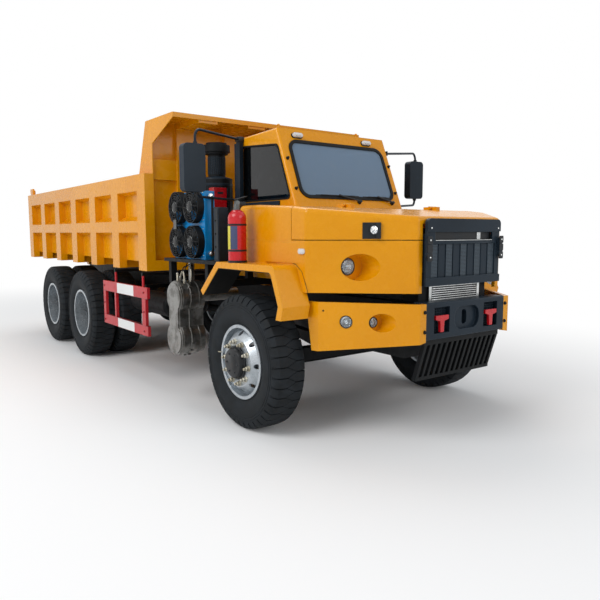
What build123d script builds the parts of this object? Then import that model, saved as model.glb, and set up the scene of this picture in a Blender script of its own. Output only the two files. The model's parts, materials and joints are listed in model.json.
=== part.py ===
from build123d import *
from math import atan2, cos, hypot, pi, radians, sin, tan
import os

# Mining dump truck: a bonneted 6x4 tipper with a canopied steel body.
# Millimetres. -Y is forward, +X is the truck's left, +Z is up, z = 0 is the ground
# and x = 0 the centre line. Places along the truck are given behind the front axle.

os.makedirs("parts", exist_ok=True)

# Running gear
FRONT_AXLE_Y = -2570.0
WHEELBASE = 3790.0
BOGIE_PITCH = 1300.0
TYRE_RADIUS = 542.5
TYRE_WIDTH = 295.0
RIM_RADIUS = 285.0
RIM_FLANGE_RADIUS = 300.0
RIM_WIDTH = 250.0
RIM_WALL = 10.0
FRONT_WHEEL_X = 1075.0
TWIN_CENTRE_X = 971.5
TWIN_PITCH = 343.0
KINGPIN_X = 880.0
KINGPIN_RADIUS = 25.0
SPINDLE_RADIUS = 45.0
AXLE_END_RADIUS = 60.0
DIFFERENTIAL_RADIUS = 215.0
STEERING_ARM = 220.0
HAND_HOLES = 8
HAND_HOLE_CIRCLE = 232.0
HAND_HOLE_RADIUS = 20.0
RUNNING_CLEARANCE = 0.06
SEAT_GAP = 0.3
MOVING_GAP = 6.0

# Chassis
RAIL_OUTER_X = 430.0
RAIL_FLANGE = 80.0
RAIL_PLATE = 10.0
RAIL_BOTTOM = 780.0
RAIL_TOP = 1060.0
FRAME_FRONT = -1150.0
FRAME_REAR = 6000.0
SUB_FRAME_TOP = 1180.0
SUB_FRAME_FRONT = 1650.0
PAD_THICKNESS = 5.0

# Tipping
TIP_HINGE = (5950.0, 1120.0)
HINGE_PIN_RADIUS = 30.0
HOIST_BASE = (1350.0, 880.0)
HOIST_EYE = (3550.0, 1100.0)
HOIST_PIN_RADIUS = 25.0
BARREL_RADIUS = 80.0
BARREL_LENGTH = 2020.0
ROD_RADIUS = 50.0

# Dump body
BODY_FRONT = 1685.0
BODY_REAR = 6350.0
HEADBOARD_Y = 1750.0
HEADBOARD_BAND = (2100.0, 2300.0)
SHEET = 10.0
SIDE_X = 1160.0
RIB_X = 1250.0
RIB_COUNT = 7
RIB_WIDTH = 200.0
FIRST_RIB_Y = 1785.0
FLOOR_TOP = 1290.0
FLOOR_SHEET = 20.0
RIB_BOTTOM = 1185.0
MID_RAIL = (1556.0, 1727.0)
TOP_RAIL = (1980.0, 2155.0)
CANOPY_TOP = 2680.0
CANOPY_FRONT = 1200.0
TAILGATE_THICKNESS = 45.0
TAILGATE_HINGE = (6378.0, 2225.0)
TAILGATE_PIN_RADIUS = 12.0

# Nose
NOSE_FRONT = -1200.0
NOSE_INNER_X = 425.0
NOSE_CORNER_X = 470.0
NOSE_BEND = (1040.0, -650.0)
NOSE_ROUND = 40.0
NOSE_REAR = 225.0
SEAM_Z = 1513.0
PANEL = 30.0
BONNET_REAR = -480.0
BONNET_FRONT_Z = 1680.0
BONNET_REAR_Z = 1765.0
COWL_REAR_Z = 1790.0
PANEL_BOTTOM = 1140.0
BONNET_HINGE = (-483.0, 1781.0)
BONNET_HINGES = (-500.0, 500.0)
HINGE_KNUCKLE_RADIUS = 14.0
HINGE_ROD_RADIUS = 8.0
RADIATOR_FACE = -1148.0
GRILLE_FRONT = -1232.0
GRILLE_BACK = -1214.0
GRILLE_FLANGE = (385.0, 410.0)
GRILLE_CAP = (NOSE_INNER_X - MOVING_GAP, 1577.0, 1668.0)
GRILLE_SLOT = (330.0, 1515.0, 1572.0)
GRILLE_MESH = (366.0, 1250.0, 1487.0)
MESH_BANDS = 9
MESH_PITCH = 80.0
FLARE_X = 1250.0
FLARE_TOP = 1335.0

# Bumper
BUMPER_FRONT = -1270.0
BUMPER_HALF = 450.0
BUMPER_TOP = 1075.0
BUMPER_BOTTOM = 810.0
BUMPER_CORNER_X = 510.0
BUMPER_BEND = (960.0, -700.0)
BUMPER_PLATE = 35.0
HOOK_POCKET = (198.0, 368.0, 853.0, 1041.0)
HOOK_DEPTH = 45.0

# Lamps in pockets that open straight ahead, given on the left: the pocket's inner and
# outer x, its middle and half height, then the lamp's place, x, height and radius
SCOOP_WALL = 12.0
LAMP_DEPTH = 22.0
WING_SCOOP = (656.0, 858.0, 1323.5, 96.0, -828.0, 795.0, 1327.0, 58.0)
BUMPER_SCOOP = (612.0, 732.0, 934.5, 66.0, -988.0, 693.0, 934.5, 34.0)
# The flush lamp of the bumper: run along its swept face, height, radius
FLUSH_LAMP = (523.0, 934.0, 42.0)

# Cab
CAB_HALF = 640.0
CAB_REAR = 950.0
CAB_WALL = 40.0
CAB_ROUND = 25.0
CAB_BASE = 1160.0
SCREEN_BASE = (0.0, 1790.0)
ROOF_FRONT = (280.0, 2467.0)
ROOF_REAR_Z = 2440.0
DOOR_HINGE = (656.0, 268.0)
DOOR_HINGES = (1400.0, 2200.0)
DOOR_FRONT = 276.0
DOOR_REAR = 904.0
DECK_TOP = 1330.0
STEP_DECK_TOP = 1200.0
GUARD_FRONT = 1700.0
GUARD_REAR = WHEELBASE - 810.0
GUARD_ARMS = (GUARD_FRONT + 130.0, GUARD_REAR - 375.0)
FUEL_TANK = (1500.0, WHEELBASE - 940.0)
AIR_TANK = (1750.0, WHEELBASE - 1090.0)
TANK_ROUND = 45.0
FAN_X = -1147.0
FANS = ((850.0, 1487.0), (1150.0, 1487.0), (850.0, 1800.0), (1150.0, 1800.0))
GLASS = 6.0
SCREEN_SIZE = (1084.0, 516.0)
SCREEN_SHIFT = -16.0
SCREEN_CORNER = 85.0
WINDOW_CORNER = 55.0
MIRROR_HEAD = (200.0, 80.0, 395.0)
MIRROR_CORNER = 38.0
MIRROR_POST = (-690.0, -650.0, 800.0, 860.0)
MIRROR_TUBE_RADIUS = 11.0
MIRROR_BEND = 70.0

SIDES = (("right", -1), ("left", 1))
WHEEL_Z = TYRE_RADIUS


def aft(distance):
    """The Y of a place this far behind the front axle."""
    return FRONT_AXLE_Y + distance


def save(builder, name):
    """Label a finished piece and write it as a STEP file."""
    builder.part.label = name
    export_step(builder.part, f"parts/{name}.step")


def block(xs, distances, zs, mode=Mode.ADD):
    """A box between two x values, two places behind the front axle and two heights."""
    ys = (aft(distances[0]), aft(distances[1]))
    with Locations((sum(xs) / 2, sum(ys) / 2, sum(zs) / 2)):
        Box(abs(xs[1] - xs[0]), abs(ys[1] - ys[0]), abs(zs[1] - zs[0]), mode=mode)


def bar(radius, start, end, mode=Mode.ADD):
    """A round bar between two points, each (x, place behind the front axle, height)."""
    first = Vector(start[0], aft(start[1]), start[2])
    last = Vector(end[0], aft(end[1]), end[2])
    reach = last - first
    with Locations(Plane(origin=first, z_dir=reach).location):
        Cylinder(radius, reach.length, align=(Align.CENTER, Align.CENTER, Align.MIN), mode=mode)


def side_plate(outline, xs, mode=Mode.ADD, rounds=()):
    """A plate filling xs, its outline in (place behind the front axle, height).

    rounds lists the corners that are rounded, each as (corner, radius).
    """
    with BuildSketch(Plane.YZ.offset(min(xs))) as profile:
        with BuildLine():
            Polyline(*[(aft(y), z) for y, z in outline], close=True)
        make_face()
        for (y, z), radius in rounds:
            fillet(profile.vertices().sort_by_distance((aft(y), z))[0], radius)
    extrude(profile.sketch, amount=abs(xs[1] - xs[0]), mode=mode)


def plan_plate(outline, zs, mode=Mode.ADD):
    """A plate filling zs, its outline in (x, place behind the front axle)."""
    with BuildSketch(Plane.XY.offset(min(zs))) as profile:
        with BuildLine():
            Polyline(*[(x, aft(y)) for x, y in outline], close=True)
        make_face()
    extrude(profile.sketch, amount=abs(zs[1] - zs[0]), mode=mode)


def front_plate(outline, distances, mode=Mode.ADD):
    """A plate filling two places behind the front axle, its outline in (x, height)."""
    with BuildSketch(Plane.XZ.offset(-aft(max(distances)))) as profile:
        with BuildLine():
            Polyline(*outline, close=True)
        make_face()
    extrude(profile.sketch, amount=abs(distances[1] - distances[0]), mode=mode)


def chassis():
    """Two channel rails with cross members, and the guard bar at the rear."""
    with BuildPart() as chassis_frame:
        inner = RAIL_OUTER_X - RAIL_FLANGE
        web = RAIL_OUTER_X - RAIL_PLATE
        for side in (-1, 1):
            block((side * web, side * RAIL_OUTER_X), (FRAME_FRONT, FRAME_REAR), (RAIL_BOTTOM, RAIL_TOP))
            for low in (RAIL_BOTTOM, RAIL_TOP - RAIL_PLATE):
                block((side * inner, side * RAIL_OUTER_X), (FRAME_FRONT, FRAME_REAR), (low, low + RAIL_PLATE))
        # place behind the front axle, depth, underside, top
        cross_members = (
            (-1110.0, 60.0, RAIL_BOTTOM, RAIL_TOP),
            (1260.0, 60.0, 900.0, RAIL_TOP),
            (3700.0, 80.0, RAIL_BOTTOM + 90.0, RAIL_TOP),
            (4440.0, 140.0, RAIL_BOTTOM, RAIL_TOP),
            (5200.0, 80.0, RAIL_BOTTOM + 90.0, RAIL_TOP),
            (5900.0, 80.0, RAIL_BOTTOM, RAIL_TOP),
        )
        for place, depth, low, high in cross_members:
            block((-web, web), (place - depth / 2, place + depth / 2), (low, high))
        for side in (-1, 1):
            lug = (side * 55.0, side * 85.0)
            block(lug, (1220.0, HOIST_BASE[0]), (HOIST_BASE[1] - 40.0, HOIST_BASE[1] + 40.0))
            bar(40.0, (lug[0], *HOIST_BASE), (lug[1], *HOIST_BASE))
        bar(HOIST_PIN_RADIUS, (-85.0, *HOIST_BASE), (85.0, *HOIST_BASE))
        for side in (-1, 1):
            block((side * 380.0, side * 410.0), (5850.0, 5990.0), (600.0, RAIL_BOTTOM))
        block((-1100.0, 1100.0), (5950.0, 6010.0), (600.0, 680.0))
    save(chassis_frame, "chassis_frame")

    with BuildPart() as sub_frame:
        hinge_y, hinge_z = TIP_HINGE
        round_end = (SUB_FRAME_TOP - RAIL_TOP) / 2
        for side in (-1, 1):
            block((side * inner, side * RAIL_OUTER_X), (SUB_FRAME_FRONT, hinge_y), (RAIL_TOP, SUB_FRAME_TOP))
            bar(round_end, (side * inner, hinge_y, hinge_z), (side * RAIL_OUTER_X, hinge_y, hinge_z))
            block(
                (side * (inner + 10.0), side * (RAIL_OUTER_X - 10.0)),
                (SUB_FRAME_FRONT + 50.0, hinge_y - 250.0),
                (SUB_FRAME_TOP, SUB_FRAME_TOP + PAD_THICKNESS),
            )
        bar(HINGE_PIN_RADIUS, (-500.0, hinge_y, hinge_z), (500.0, hinge_y, hinge_z))
        for place in (4300.0, 5100.0):
            block((-inner, inner), (place - 40.0, place + 40.0), (RAIL_TOP + 20.0, SUB_FRAME_TOP - 20.0))
    save(sub_frame, "sub_frame")


def drive_line():
    """Engine with gearbox as plain blocks, propeller shafts, radiator and cooler."""
    with BuildPart() as engine_block:
        block((-325.0, 325.0), (-950.0, -60.0), (620.0, 1420.0))
        block((-260.0, 260.0), (-60.0, 420.0), (620.0, 1090.0))
        block((-200.0, 200.0), (420.0, 1120.0), (640.0, 1030.0))
        for side in (-1, 1):
            for place in (-820.0, 60.0):
                block((side * 255.0, side * (RAIL_OUTER_X - RAIL_PLATE)), (place, place + 90.0), (860.0, 930.0))
    save(engine_block, "engine_block")

    with BuildPart() as propshafts:
        reach = DIFFERENTIAL_RADIUS + SEAT_GAP
        shafts = (
            ((1120.0, 760.0), (WHEELBASE - reach, WHEEL_Z)),
            ((WHEELBASE + reach, WHEEL_Z), (WHEELBASE + BOGIE_PITCH - reach, WHEEL_Z)),
        )
        for (start_y, start_z), (end_y, end_z) in shafts:
            bar(65.0, (0, start_y, start_z), (0, start_y + 30.0, start_z))
            bar(45.0, (0, start_y + 25.0, start_z), (0, end_y - 25.0, end_z))
            bar(65.0, (0, end_y - 30.0, end_z), (0, end_y, end_z))
    save(propshafts, "propshafts")

    with BuildPart() as radiator:
        half = GRILLE_FLANGE[0]
        block((-half, half), (-1065.0, -985.0), (RAIL_TOP, 1600.0))
        block((-half, half), (-1135.0, -1085.0), (RAIL_TOP, 1600.0))
        for side in (-1, 1):
            block((side * (half - 45.0), side * half), (-1135.0, -985.0), (RAIL_TOP, 1600.0))
            block((side * 262.0, side * 292.0), (RADIATOR_FACE, -1135.0), (RAIL_TOP, 1240.0))
        for index in range(9):
            low = RAIL_TOP + 6.0 + index * 18.0
            block((-262.0, 262.0), (RADIATOR_FACE, -1135.0), (low, low + 6.0))
    save(radiator, "radiator")


def axles():
    """Front beam with its knuckles and tie rod, two drive axles and the leaf springs."""
    with BuildPart() as front_axle:
        block((-KINGPIN_X, KINGPIN_X), (-50.0, 50.0), (485.0, 590.0))
        for side in (-1, 1):
            bar(55.0, (side * KINGPIN_X, 0, 470.0), (side * KINGPIN_X, 0, 615.0))
            bar(
                KINGPIN_RADIUS + RUNNING_CLEARANCE,
                (side * KINGPIN_X, 0, 470.0),
                (side * KINGPIN_X, 0, 615.0),
                mode=Mode.SUBTRACT,
            )
    save(front_axle, "front_axle")

    for name, side in SIDES:
        pin_x = side * KINGPIN_X
        with BuildPart() as knuckle:
            bar(KINGPIN_RADIUS, (pin_x, 0, 430.0), (pin_x, 0, 655.0))
            for low, high in ((434.0, 464.0), (621.0, 651.0)):
                bar(55.0, (pin_x, 0, low), (pin_x, 0, high))
                block((pin_x, pin_x + side * 85.0), (-55.0, 55.0), (low, high))
            block((pin_x + side * 61.0, pin_x + side * 85.0), (-60.0, 60.0), (434.0, 651.0))
            bar(SPINDLE_RADIUS, (pin_x + side * 85.0, 0, WHEEL_Z), (side * 1180.0, 0, WHEEL_Z))
            block((pin_x - 25.0, pin_x + 25.0), (0, STEERING_ARM), (434.0, 464.0))
            bar(12.0, (pin_x, STEERING_ARM, 400.0), (pin_x, STEERING_ARM, 464.0))
        save(knuckle, f"knuckle_{name}")

    with BuildPart() as tie_rod:
        bar(20.0, (-KINGPIN_X, STEERING_ARM, 412.0), (KINGPIN_X, STEERING_ARM, 412.0))
        for side in (-1, 1):
            bar(30.0, (side * KINGPIN_X, STEERING_ARM, 397.0), (side * KINGPIN_X, STEERING_ARM, 427.0))
            bar(
                12.0 + RUNNING_CLEARANCE,
                (side * KINGPIN_X, STEERING_ARM, 380.0),
                (side * KINGPIN_X, STEERING_ARM, 440.0),
                mode=Mode.SUBTRACT,
            )
    save(tie_rod, "tie_rod")

    with BuildPart() as drive_axles:
        for place in (WHEELBASE, WHEELBASE + BOGIE_PITCH):
            bar(75.0, (-690.0, place, WHEEL_Z), (690.0, place, WHEEL_Z))
            bar(AXLE_END_RADIUS, (-1120.0, place, WHEEL_Z), (1120.0, place, WHEEL_Z))
            with Locations((0, aft(place), WHEEL_Z)):
                Sphere(DIFFERENTIAL_RADIUS)
    save(drive_axles, "drive_axles")

    with BuildPart() as leaf_springs:
        for side in (-1, 1):
            xs = (side * (RAIL_OUTER_X - RAIL_FLANGE), side * RAIL_OUTER_X)
            side_plate(
                ((-640, 700), (-640, 740), (0, 690), (640, 740), (640, 700), (80, 590), (-80, 590)), xs)
            for place in (-640.0, 600.0):
                block(xs, (place, place + 40.0), (700.0, RAIL_BOTTOM))
            middle = WHEELBASE + BOGIE_PITCH / 2
            xs = (side * 460.0, side * 550.0)
            reach = BOGIE_PITCH / 2 + 60.0
            side_plate(
                (
                    (middle - reach, 618), (middle - reach, 650), (middle, 760),
                    (middle + reach, 650), (middle + reach, 618), (middle + 90, 640), (middle - 90, 640),
                ), xs)
            block((side * RAIL_OUTER_X, side * 550.0), (middle - 90, middle + 90), (720.0, 900.0))
    save(leaf_springs, "leaf_springs")


def tyre_section(centre, plane_y):
    """Half section of a tyre about the wheel axis, closed at its beads."""
    half_bead = RIM_WIDTH / 2 - 12.0 - SEAT_GAP
    half = TYRE_WIDTH / 2
    bore = RIM_RADIUS + SEAT_GAP
    with BuildSketch(Plane.XY.offset(WHEEL_Z)) as section:
        with BuildLine():
            left = [(-half_bead, bore), (-half_bead, RIM_FLANGE_RADIUS + 6.0), (-half, 400.0)]
            shoulder = [(-half + 6.0, 480.0), (-half + 20.0, 522.0), (-half + 42.0, 538.0)]
            points = left + shoulder
            points = points + [(0, TYRE_RADIUS)] + [(-a, r) for a, r in reversed(points)]
            Polyline(*[(centre + a, plane_y + r) for a, r in points], close=True)
        make_face()
    return section


def make_tyre(centres, place):
    """Tyres side by side on one axle end."""
    for centre in centres:
        section = tyre_section(centre, aft(place))
        revolve(section.sketch, axis=Axis((0, aft(place), WHEEL_Z), (1, 0, 0)))


def ring(place, outline):
    """A turned piece about a wheel's axis, its half section in (x, radius)."""
    with BuildSketch(Plane.XY.offset(WHEEL_Z)) as section:
        with BuildLine():
            Polyline(*[(x, aft(place) + r) for x, r in outline], close=True)
        make_face()
    revolve(section.sketch, axis=Axis((0, aft(place), WHEEL_Z), (1, 0, 0)))


def rim_barrel(centre, place):
    """The well of one rim with a flange at each edge."""
    half = RIM_WIDTH / 2
    inner = RIM_RADIUS - RIM_WALL
    ring(place, (
        (centre - half, inner), (centre - half, RIM_FLANGE_RADIUS), (centre - half + 12, RIM_FLANGE_RADIUS),
        (centre - half + 12, RIM_RADIUS), (centre + half - 12, RIM_RADIUS),
        (centre + half - 12, RIM_FLANGE_RADIUS), (centre + half, RIM_FLANGE_RADIUS), (centre + half, inner),
    ))


def wheels():
    """Single front wheels and twin drive wheels, tyres apart from rims."""
    inner = RIM_RADIUS - RIM_WALL
    for name, side in SIDES:
        centre = side * FRONT_WHEEL_X
        with BuildPart() as tyre:
            make_tyre((centre,), 0)
        save(tyre, f"tyre_front_{name}")

        def at(offset):
            return centre + side * offset

        with BuildPart() as rim:
            rim_barrel(centre, 0)
            ring(0, (
                (at(148), 80), (at(148), 198), (at(140), 206), (at(62), inner + 1), (at(50), inner + 1),
                (at(128), 204), (at(136), 194), (at(136), 80)))
            for number in range(HAND_HOLES):
                turn = 2 * pi * number / HAND_HOLES
                dy, dz = HAND_HOLE_CIRCLE * cos(turn), HAND_HOLE_CIRCLE * sin(turn)
                bar(
                    HAND_HOLE_RADIUS, (at(60), dy, WHEEL_Z + dz), (at(140), dy, WHEEL_Z + dz),
                    mode=Mode.SUBTRACT)
            bore = SPINDLE_RADIUS + RUNNING_CLEARANCE
            ring(0, (
                (at(-70), bore), (at(-70), 120), (at(0), 120), (at(100), 118), (at(136), 135), (at(148), 135),
                (at(148), 122), (at(185), 116), (at(197), 104), (at(197), 0), (at(112), 0), (at(112), bore)))
        save(rim, f"rim_front_{name}")

    for axle, place in (("middle", WHEELBASE), ("rear", WHEELBASE + BOGIE_PITCH)):
        for name, side in SIDES:
            twin = side * TWIN_CENTRE_X
            offsets = (-TWIN_PITCH / 2, TWIN_PITCH / 2)
            with BuildPart() as tyres:
                make_tyre([twin + offset for offset in offsets], place)
            save(tyres, f"tyres_{axle}_{name}")

            def at(offset):
                return twin + side * offset

            with BuildPart() as rims:
                for offset in offsets:
                    rim_barrel(twin + offset, place)
                bore = AXLE_END_RADIUS + RUNNING_CLEARANCE
                ring(place, (
                    (at(-150), bore), (at(-150), 125), (at(-62), 130), (at(-62), inner + 1), (at(-50), inner + 1),
                    (at(-35), 150), (at(35), 150), (at(50), inner + 1), (at(62), inner + 1), (at(62), 130),
                    (at(150), 118), (at(176), 110), (at(190), 92), (at(190), 0), (at(155), 0), (at(155), bore)))
                for number in range(HAND_HOLES):
                    turn = 2 * pi * (number + 0.5) / HAND_HOLES
                    dy, dz = HAND_HOLE_CIRCLE * cos(turn), HAND_HOLE_CIRCLE * sin(turn)
                    bar(
                        HAND_HOLE_RADIUS, (at(-70), place + dy, WHEEL_Z + dz), (at(70), place + dy, WHEEL_Z + dz),
                        mode=Mode.SUBTRACT)
            save(rims, f"rims_{axle}_{name}")


def dump_body():
    """Ribbed steel body with a headboard, side wings and a flat canopy."""
    hinge_y, hinge_z = TIP_HINGE
    eye_y, eye_z = HOIST_EYE
    inner = SIDE_X - SHEET
    floor_bottom = FLOOR_TOP - FLOOR_SHEET
    rib_pitch = (BODY_REAR - RIB_WIDTH / 2 - FIRST_RIB_Y) / (RIB_COUNT - 1)
    with BuildPart() as body:
        block((-SIDE_X, SIDE_X), (HEADBOARD_Y, BODY_REAR), (floor_bottom, FLOOR_TOP))
        block((-inner, inner), (HEADBOARD_Y, HEADBOARD_Y + SHEET), (FLOOR_TOP, CANOPY_TOP - 15))
        block((-SIDE_X, SIDE_X), (CANOPY_FRONT, HEADBOARD_Y + SHEET), (CANOPY_TOP - 15, CANOPY_TOP))
        block((-SIDE_X, SIDE_X), (CANOPY_FRONT, CANOPY_FRONT + 15), (CANOPY_TOP - 45, CANOPY_TOP - 15))
        for side in (-1, 1):
            block((side * inner, side * SIDE_X), (HEADBOARD_Y, BODY_REAR), (FLOOR_TOP, TOP_RAIL[1]))
            side_plate(
                (
                    (BODY_FRONT, 1280), (BODY_FRONT, 2445), (CANOPY_FRONT, CANOPY_TOP - 45), (CANOPY_FRONT, CANOPY_TOP),
                    (1830, CANOPY_TOP), (2030, TOP_RAIL[1]), (2030, 2100), (HEADBOARD_Y + 20, 2100),
                    (HEADBOARD_Y + 20, 1280),
                ), (side * inner, side * SIDE_X))
            with BuildSketch(Plane.XZ.offset(-aft(BODY_REAR))) as rails:
                with BuildLine():
                    Polyline(
                        (side * inner, TOP_RAIL[0] - 20), (side * SIDE_X, TOP_RAIL[0] - 20),
                        (side * RIB_X, TOP_RAIL[0] + 10), (side * RIB_X, TOP_RAIL[1]), (side * inner, TOP_RAIL[1]),
                        close=True)
                make_face()
                with BuildLine():
                    Polyline(
                        (side * inner, MID_RAIL[0] - 15), (side * SIDE_X, MID_RAIL[0] - 15),
                        (side * RIB_X, MID_RAIL[0] + 15), (side * RIB_X, MID_RAIL[1] - 40),
                        (side * SIDE_X, MID_RAIL[1] + 10), (side * inner, MID_RAIL[1] + 10),
                        close=True)
                make_face()
            extrude(rails.sketch, amount=BODY_REAR - BODY_FRONT)
            for index in range(RIB_COUNT):
                middle = FIRST_RIB_Y + index * rib_pitch
                ys = (middle - RIB_WIDTH / 2, middle + RIB_WIDTH / 2)
                block((side * SIDE_X, side * RIB_X), ys, (RIB_BOTTOM, TOP_RAIL[0] + 20))
                block((side * RAIL_OUTER_X, side * SIDE_X), (middle - 60, middle + 60), (RIB_BOTTOM, floor_bottom))
            block(
                (side * (RAIL_OUTER_X - RAIL_FLANGE), side * RAIL_OUTER_X),
                (BODY_FRONT, hinge_y - 5.0),
                (SUB_FRAME_TOP + PAD_THICKNESS, floor_bottom))
            for low, high in ((125.0, 330.0), (680.0, 885.0)):
                xs = (side * low, side * high)
                block(xs, (HEADBOARD_Y - 55, HEADBOARD_Y), (FLOOR_TOP, CANOPY_TOP - 15))
                block(xs, (CANOPY_FRONT + 15, HEADBOARD_Y - 55), (CANOPY_TOP - 70, CANOPY_TOP - 15))
            ear = (side * (RAIL_OUTER_X + 10), side * (RAIL_OUTER_X + 40))
            block(ear, (hinge_y - 70, hinge_y + 70), (hinge_z, floor_bottom))
            bar(70.0, (ear[0], hinge_y, hinge_z), (ear[1], hinge_y, hinge_z))
            side_plate(
                (
                    (eye_y - 90, floor_bottom), (eye_y + 60, floor_bottom), (eye_y + 60, eye_z + 31),
                    (eye_y - 31, eye_z + 31), (eye_y - 31, eye_z - 40), (eye_y - 75, eye_z - 40), (eye_y - 90, eye_z),
                ), (side * 60.0, side * 85.0))
            block((side * 1170.0, side * 1195.0), (BODY_REAR - 90, BODY_REAR), (TOP_RAIL[1], TAILGATE_HINGE[1] + 35))
            side_plate(
                (
                    (BODY_REAR - 90, TOP_RAIL[1]), (BODY_REAR - 90, TAILGATE_HINGE[1] + 35),
                    (BODY_REAR + 60, TAILGATE_HINGE[1] + 35), (BODY_REAR + 60, TAILGATE_HINGE[1] - 35),
                    (BODY_REAR, TOP_RAIL[1]),
                ), (side * 1170.0, side * 1195.0))
            pin = (side * 1128.0, side * 1195.0)
            bar(TAILGATE_PIN_RADIUS, (pin[0], *TAILGATE_HINGE), (pin[1], *TAILGATE_HINGE))
            block((side * 1170.0, side * 1195.0), (BODY_REAR - 60, BODY_REAR + 70), (1195.0, 1255.0))
        block((-inner, inner), (HEADBOARD_Y - 40, HEADBOARD_Y), HEADBOARD_BAND)
        block((-SIDE_X, SIDE_X), (BODY_FRONT, HEADBOARD_Y), (RIB_BOTTOM, FLOOR_TOP))
        block((-SIDE_X, -RAIL_OUTER_X), (BODY_REAR - 60, BODY_REAR), (RIB_BOTTOM, floor_bottom))
        block((RAIL_OUTER_X, SIDE_X), (BODY_REAR - 60, BODY_REAR), (RIB_BOTTOM, floor_bottom))
        bar(
            HINGE_PIN_RADIUS + RUNNING_CLEARANCE,
            (-520.0, hinge_y, hinge_z), (520.0, hinge_y, hinge_z), mode=Mode.SUBTRACT)
    save(body, "dump_body")

    with BuildPart() as tailgate:
        face = BODY_REAR + MOVING_GAP
        back = face + TAILGATE_THICKNESS
        block((-1155.0, 1155.0), (face, face + 12.0), (1300.0, 2150.0))
        for low, high in ((1300.0, 1380.0), (1680.0, 1760.0), (2070.0, 2150.0)):
            block((-1155.0, 1155.0), (face, back), (low, high))
        for index in range(7):
            middle = -1110.0 + index * 370.0
            block((middle - 45.0, middle + 45.0), (face, back), (1300.0, 2150.0))
        hinge_y, hinge_z = TAILGATE_HINGE
        for side in (-1, 1):
            xs = (side * 1130.0, side * 1155.0)
            block(xs, (hinge_y - 20, hinge_y + 20), (2100.0, hinge_z))
            bar(20.0, (xs[0], hinge_y, hinge_z), (xs[1], hinge_y, hinge_z))
        bar(
            TAILGATE_PIN_RADIUS + RUNNING_CLEARANCE,
            (-1200.0, hinge_y, hinge_z), (1200.0, hinge_y, hinge_z), mode=Mode.SUBTRACT)
    save(tailgate, "tailgate")


def hoist():
    """Tipping cylinder: barrel on the chassis, rod with its cross pin under the body."""
    base_y, base_z = HOIST_BASE
    eye_y, eye_z = HOIST_EYE
    length = hypot(eye_y - base_y, eye_z - base_z)
    run = ((eye_y - base_y) / length, (eye_z - base_z) / length)

    def along(distance):
        return (0, base_y + run[0] * distance, base_z + run[1] * distance)

    with BuildPart() as hoist_barrel:
        bar(50.0, (-50.0, base_y, base_z), (50.0, base_y, base_z))
        bar(BARREL_RADIUS, along(45.0), along(BARREL_LENGTH))
        bar(ROD_RADIUS + 0.5, along(120.0), along(BARREL_LENGTH + 1), mode=Mode.SUBTRACT)
        bar(
            HOIST_PIN_RADIUS + RUNNING_CLEARANCE,
            (-60.0, base_y, base_z), (60.0, base_y, base_z), mode=Mode.SUBTRACT)
    save(hoist_barrel, "hoist_barrel")

    with BuildPart() as hoist_rod:
        bar(ROD_RADIUS, along(150.0), along(length))
        bar(52.0, (-50.0, eye_y, eye_z), (50.0, eye_y, eye_z))
        bar(HOIST_PIN_RADIUS, (-95.0, eye_y, eye_z), (95.0, eye_y, eye_z))
    save(hoist_rod, "hoist_rod")


def nose_outline(inset, rear):
    """Left half of the V-shaped nose in plan, from its front corner back, moved in by inset."""
    bend_x, bend_y = NOSE_BEND
    sweep = atan2(bend_y - NOSE_FRONT, bend_x - NOSE_CORNER_X)
    return [
        (NOSE_CORNER_X - inset * tan(sweep / 2), NOSE_FRONT + inset),
        (bend_x - inset, bend_y + inset * (1 - sin(sweep)) / cos(sweep)),
        (bend_x - inset, rear),
    ]


def mirrored(outline):
    """An outline on the left followed back by its mirror image on the right."""
    return outline + [(-x, y) for x, y in reversed(outline)]


def sweep_plane(start, end, side):
    """The outer face of a swept panel: local x runs outboard on the left, y is up, z is out."""
    run_x, run_y = end[0] - start[0], end[1] - start[1]
    length = hypot(run_x, run_y)
    return Plane(
        origin=(side * start[0], aft(start[1]), 0),
        x_dir=(run_x / length, side * run_y / length, 0),
        z_dir=(side * run_y / length, -run_x / length, 0),
    )


def oval_bar(scoop, side, grow, distances, mode=Mode.ADD):
    """An oval bar along the truck: the space of a lamp's pocket, or the housing round it."""
    inner, outer, middle, half_height = scoop[:4]
    with BuildSketch(Plane.XZ.offset(-aft(max(distances)))) as oval:
        with Locations((side * (inner + outer) / 2, middle)):
            Ellipse((outer - inner) / 2 + grow, half_height + grow)
    extrude(oval.sketch, amount=max(distances) - min(distances), mode=mode)


def cut_scoop(scoop, side, front):
    """Hollow a lamp's pocket out and bore its back wall for the lamp."""
    place, x, height, radius = scoop[4:]
    oval_bar(scoop, side, 0.0, (front, place), Mode.SUBTRACT)
    bar(
        radius + SEAT_GAP, (side * x, place - 1, height), (side * x, place + LAMP_DEPTH + 1, height),
        mode=Mode.SUBTRACT)


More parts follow.
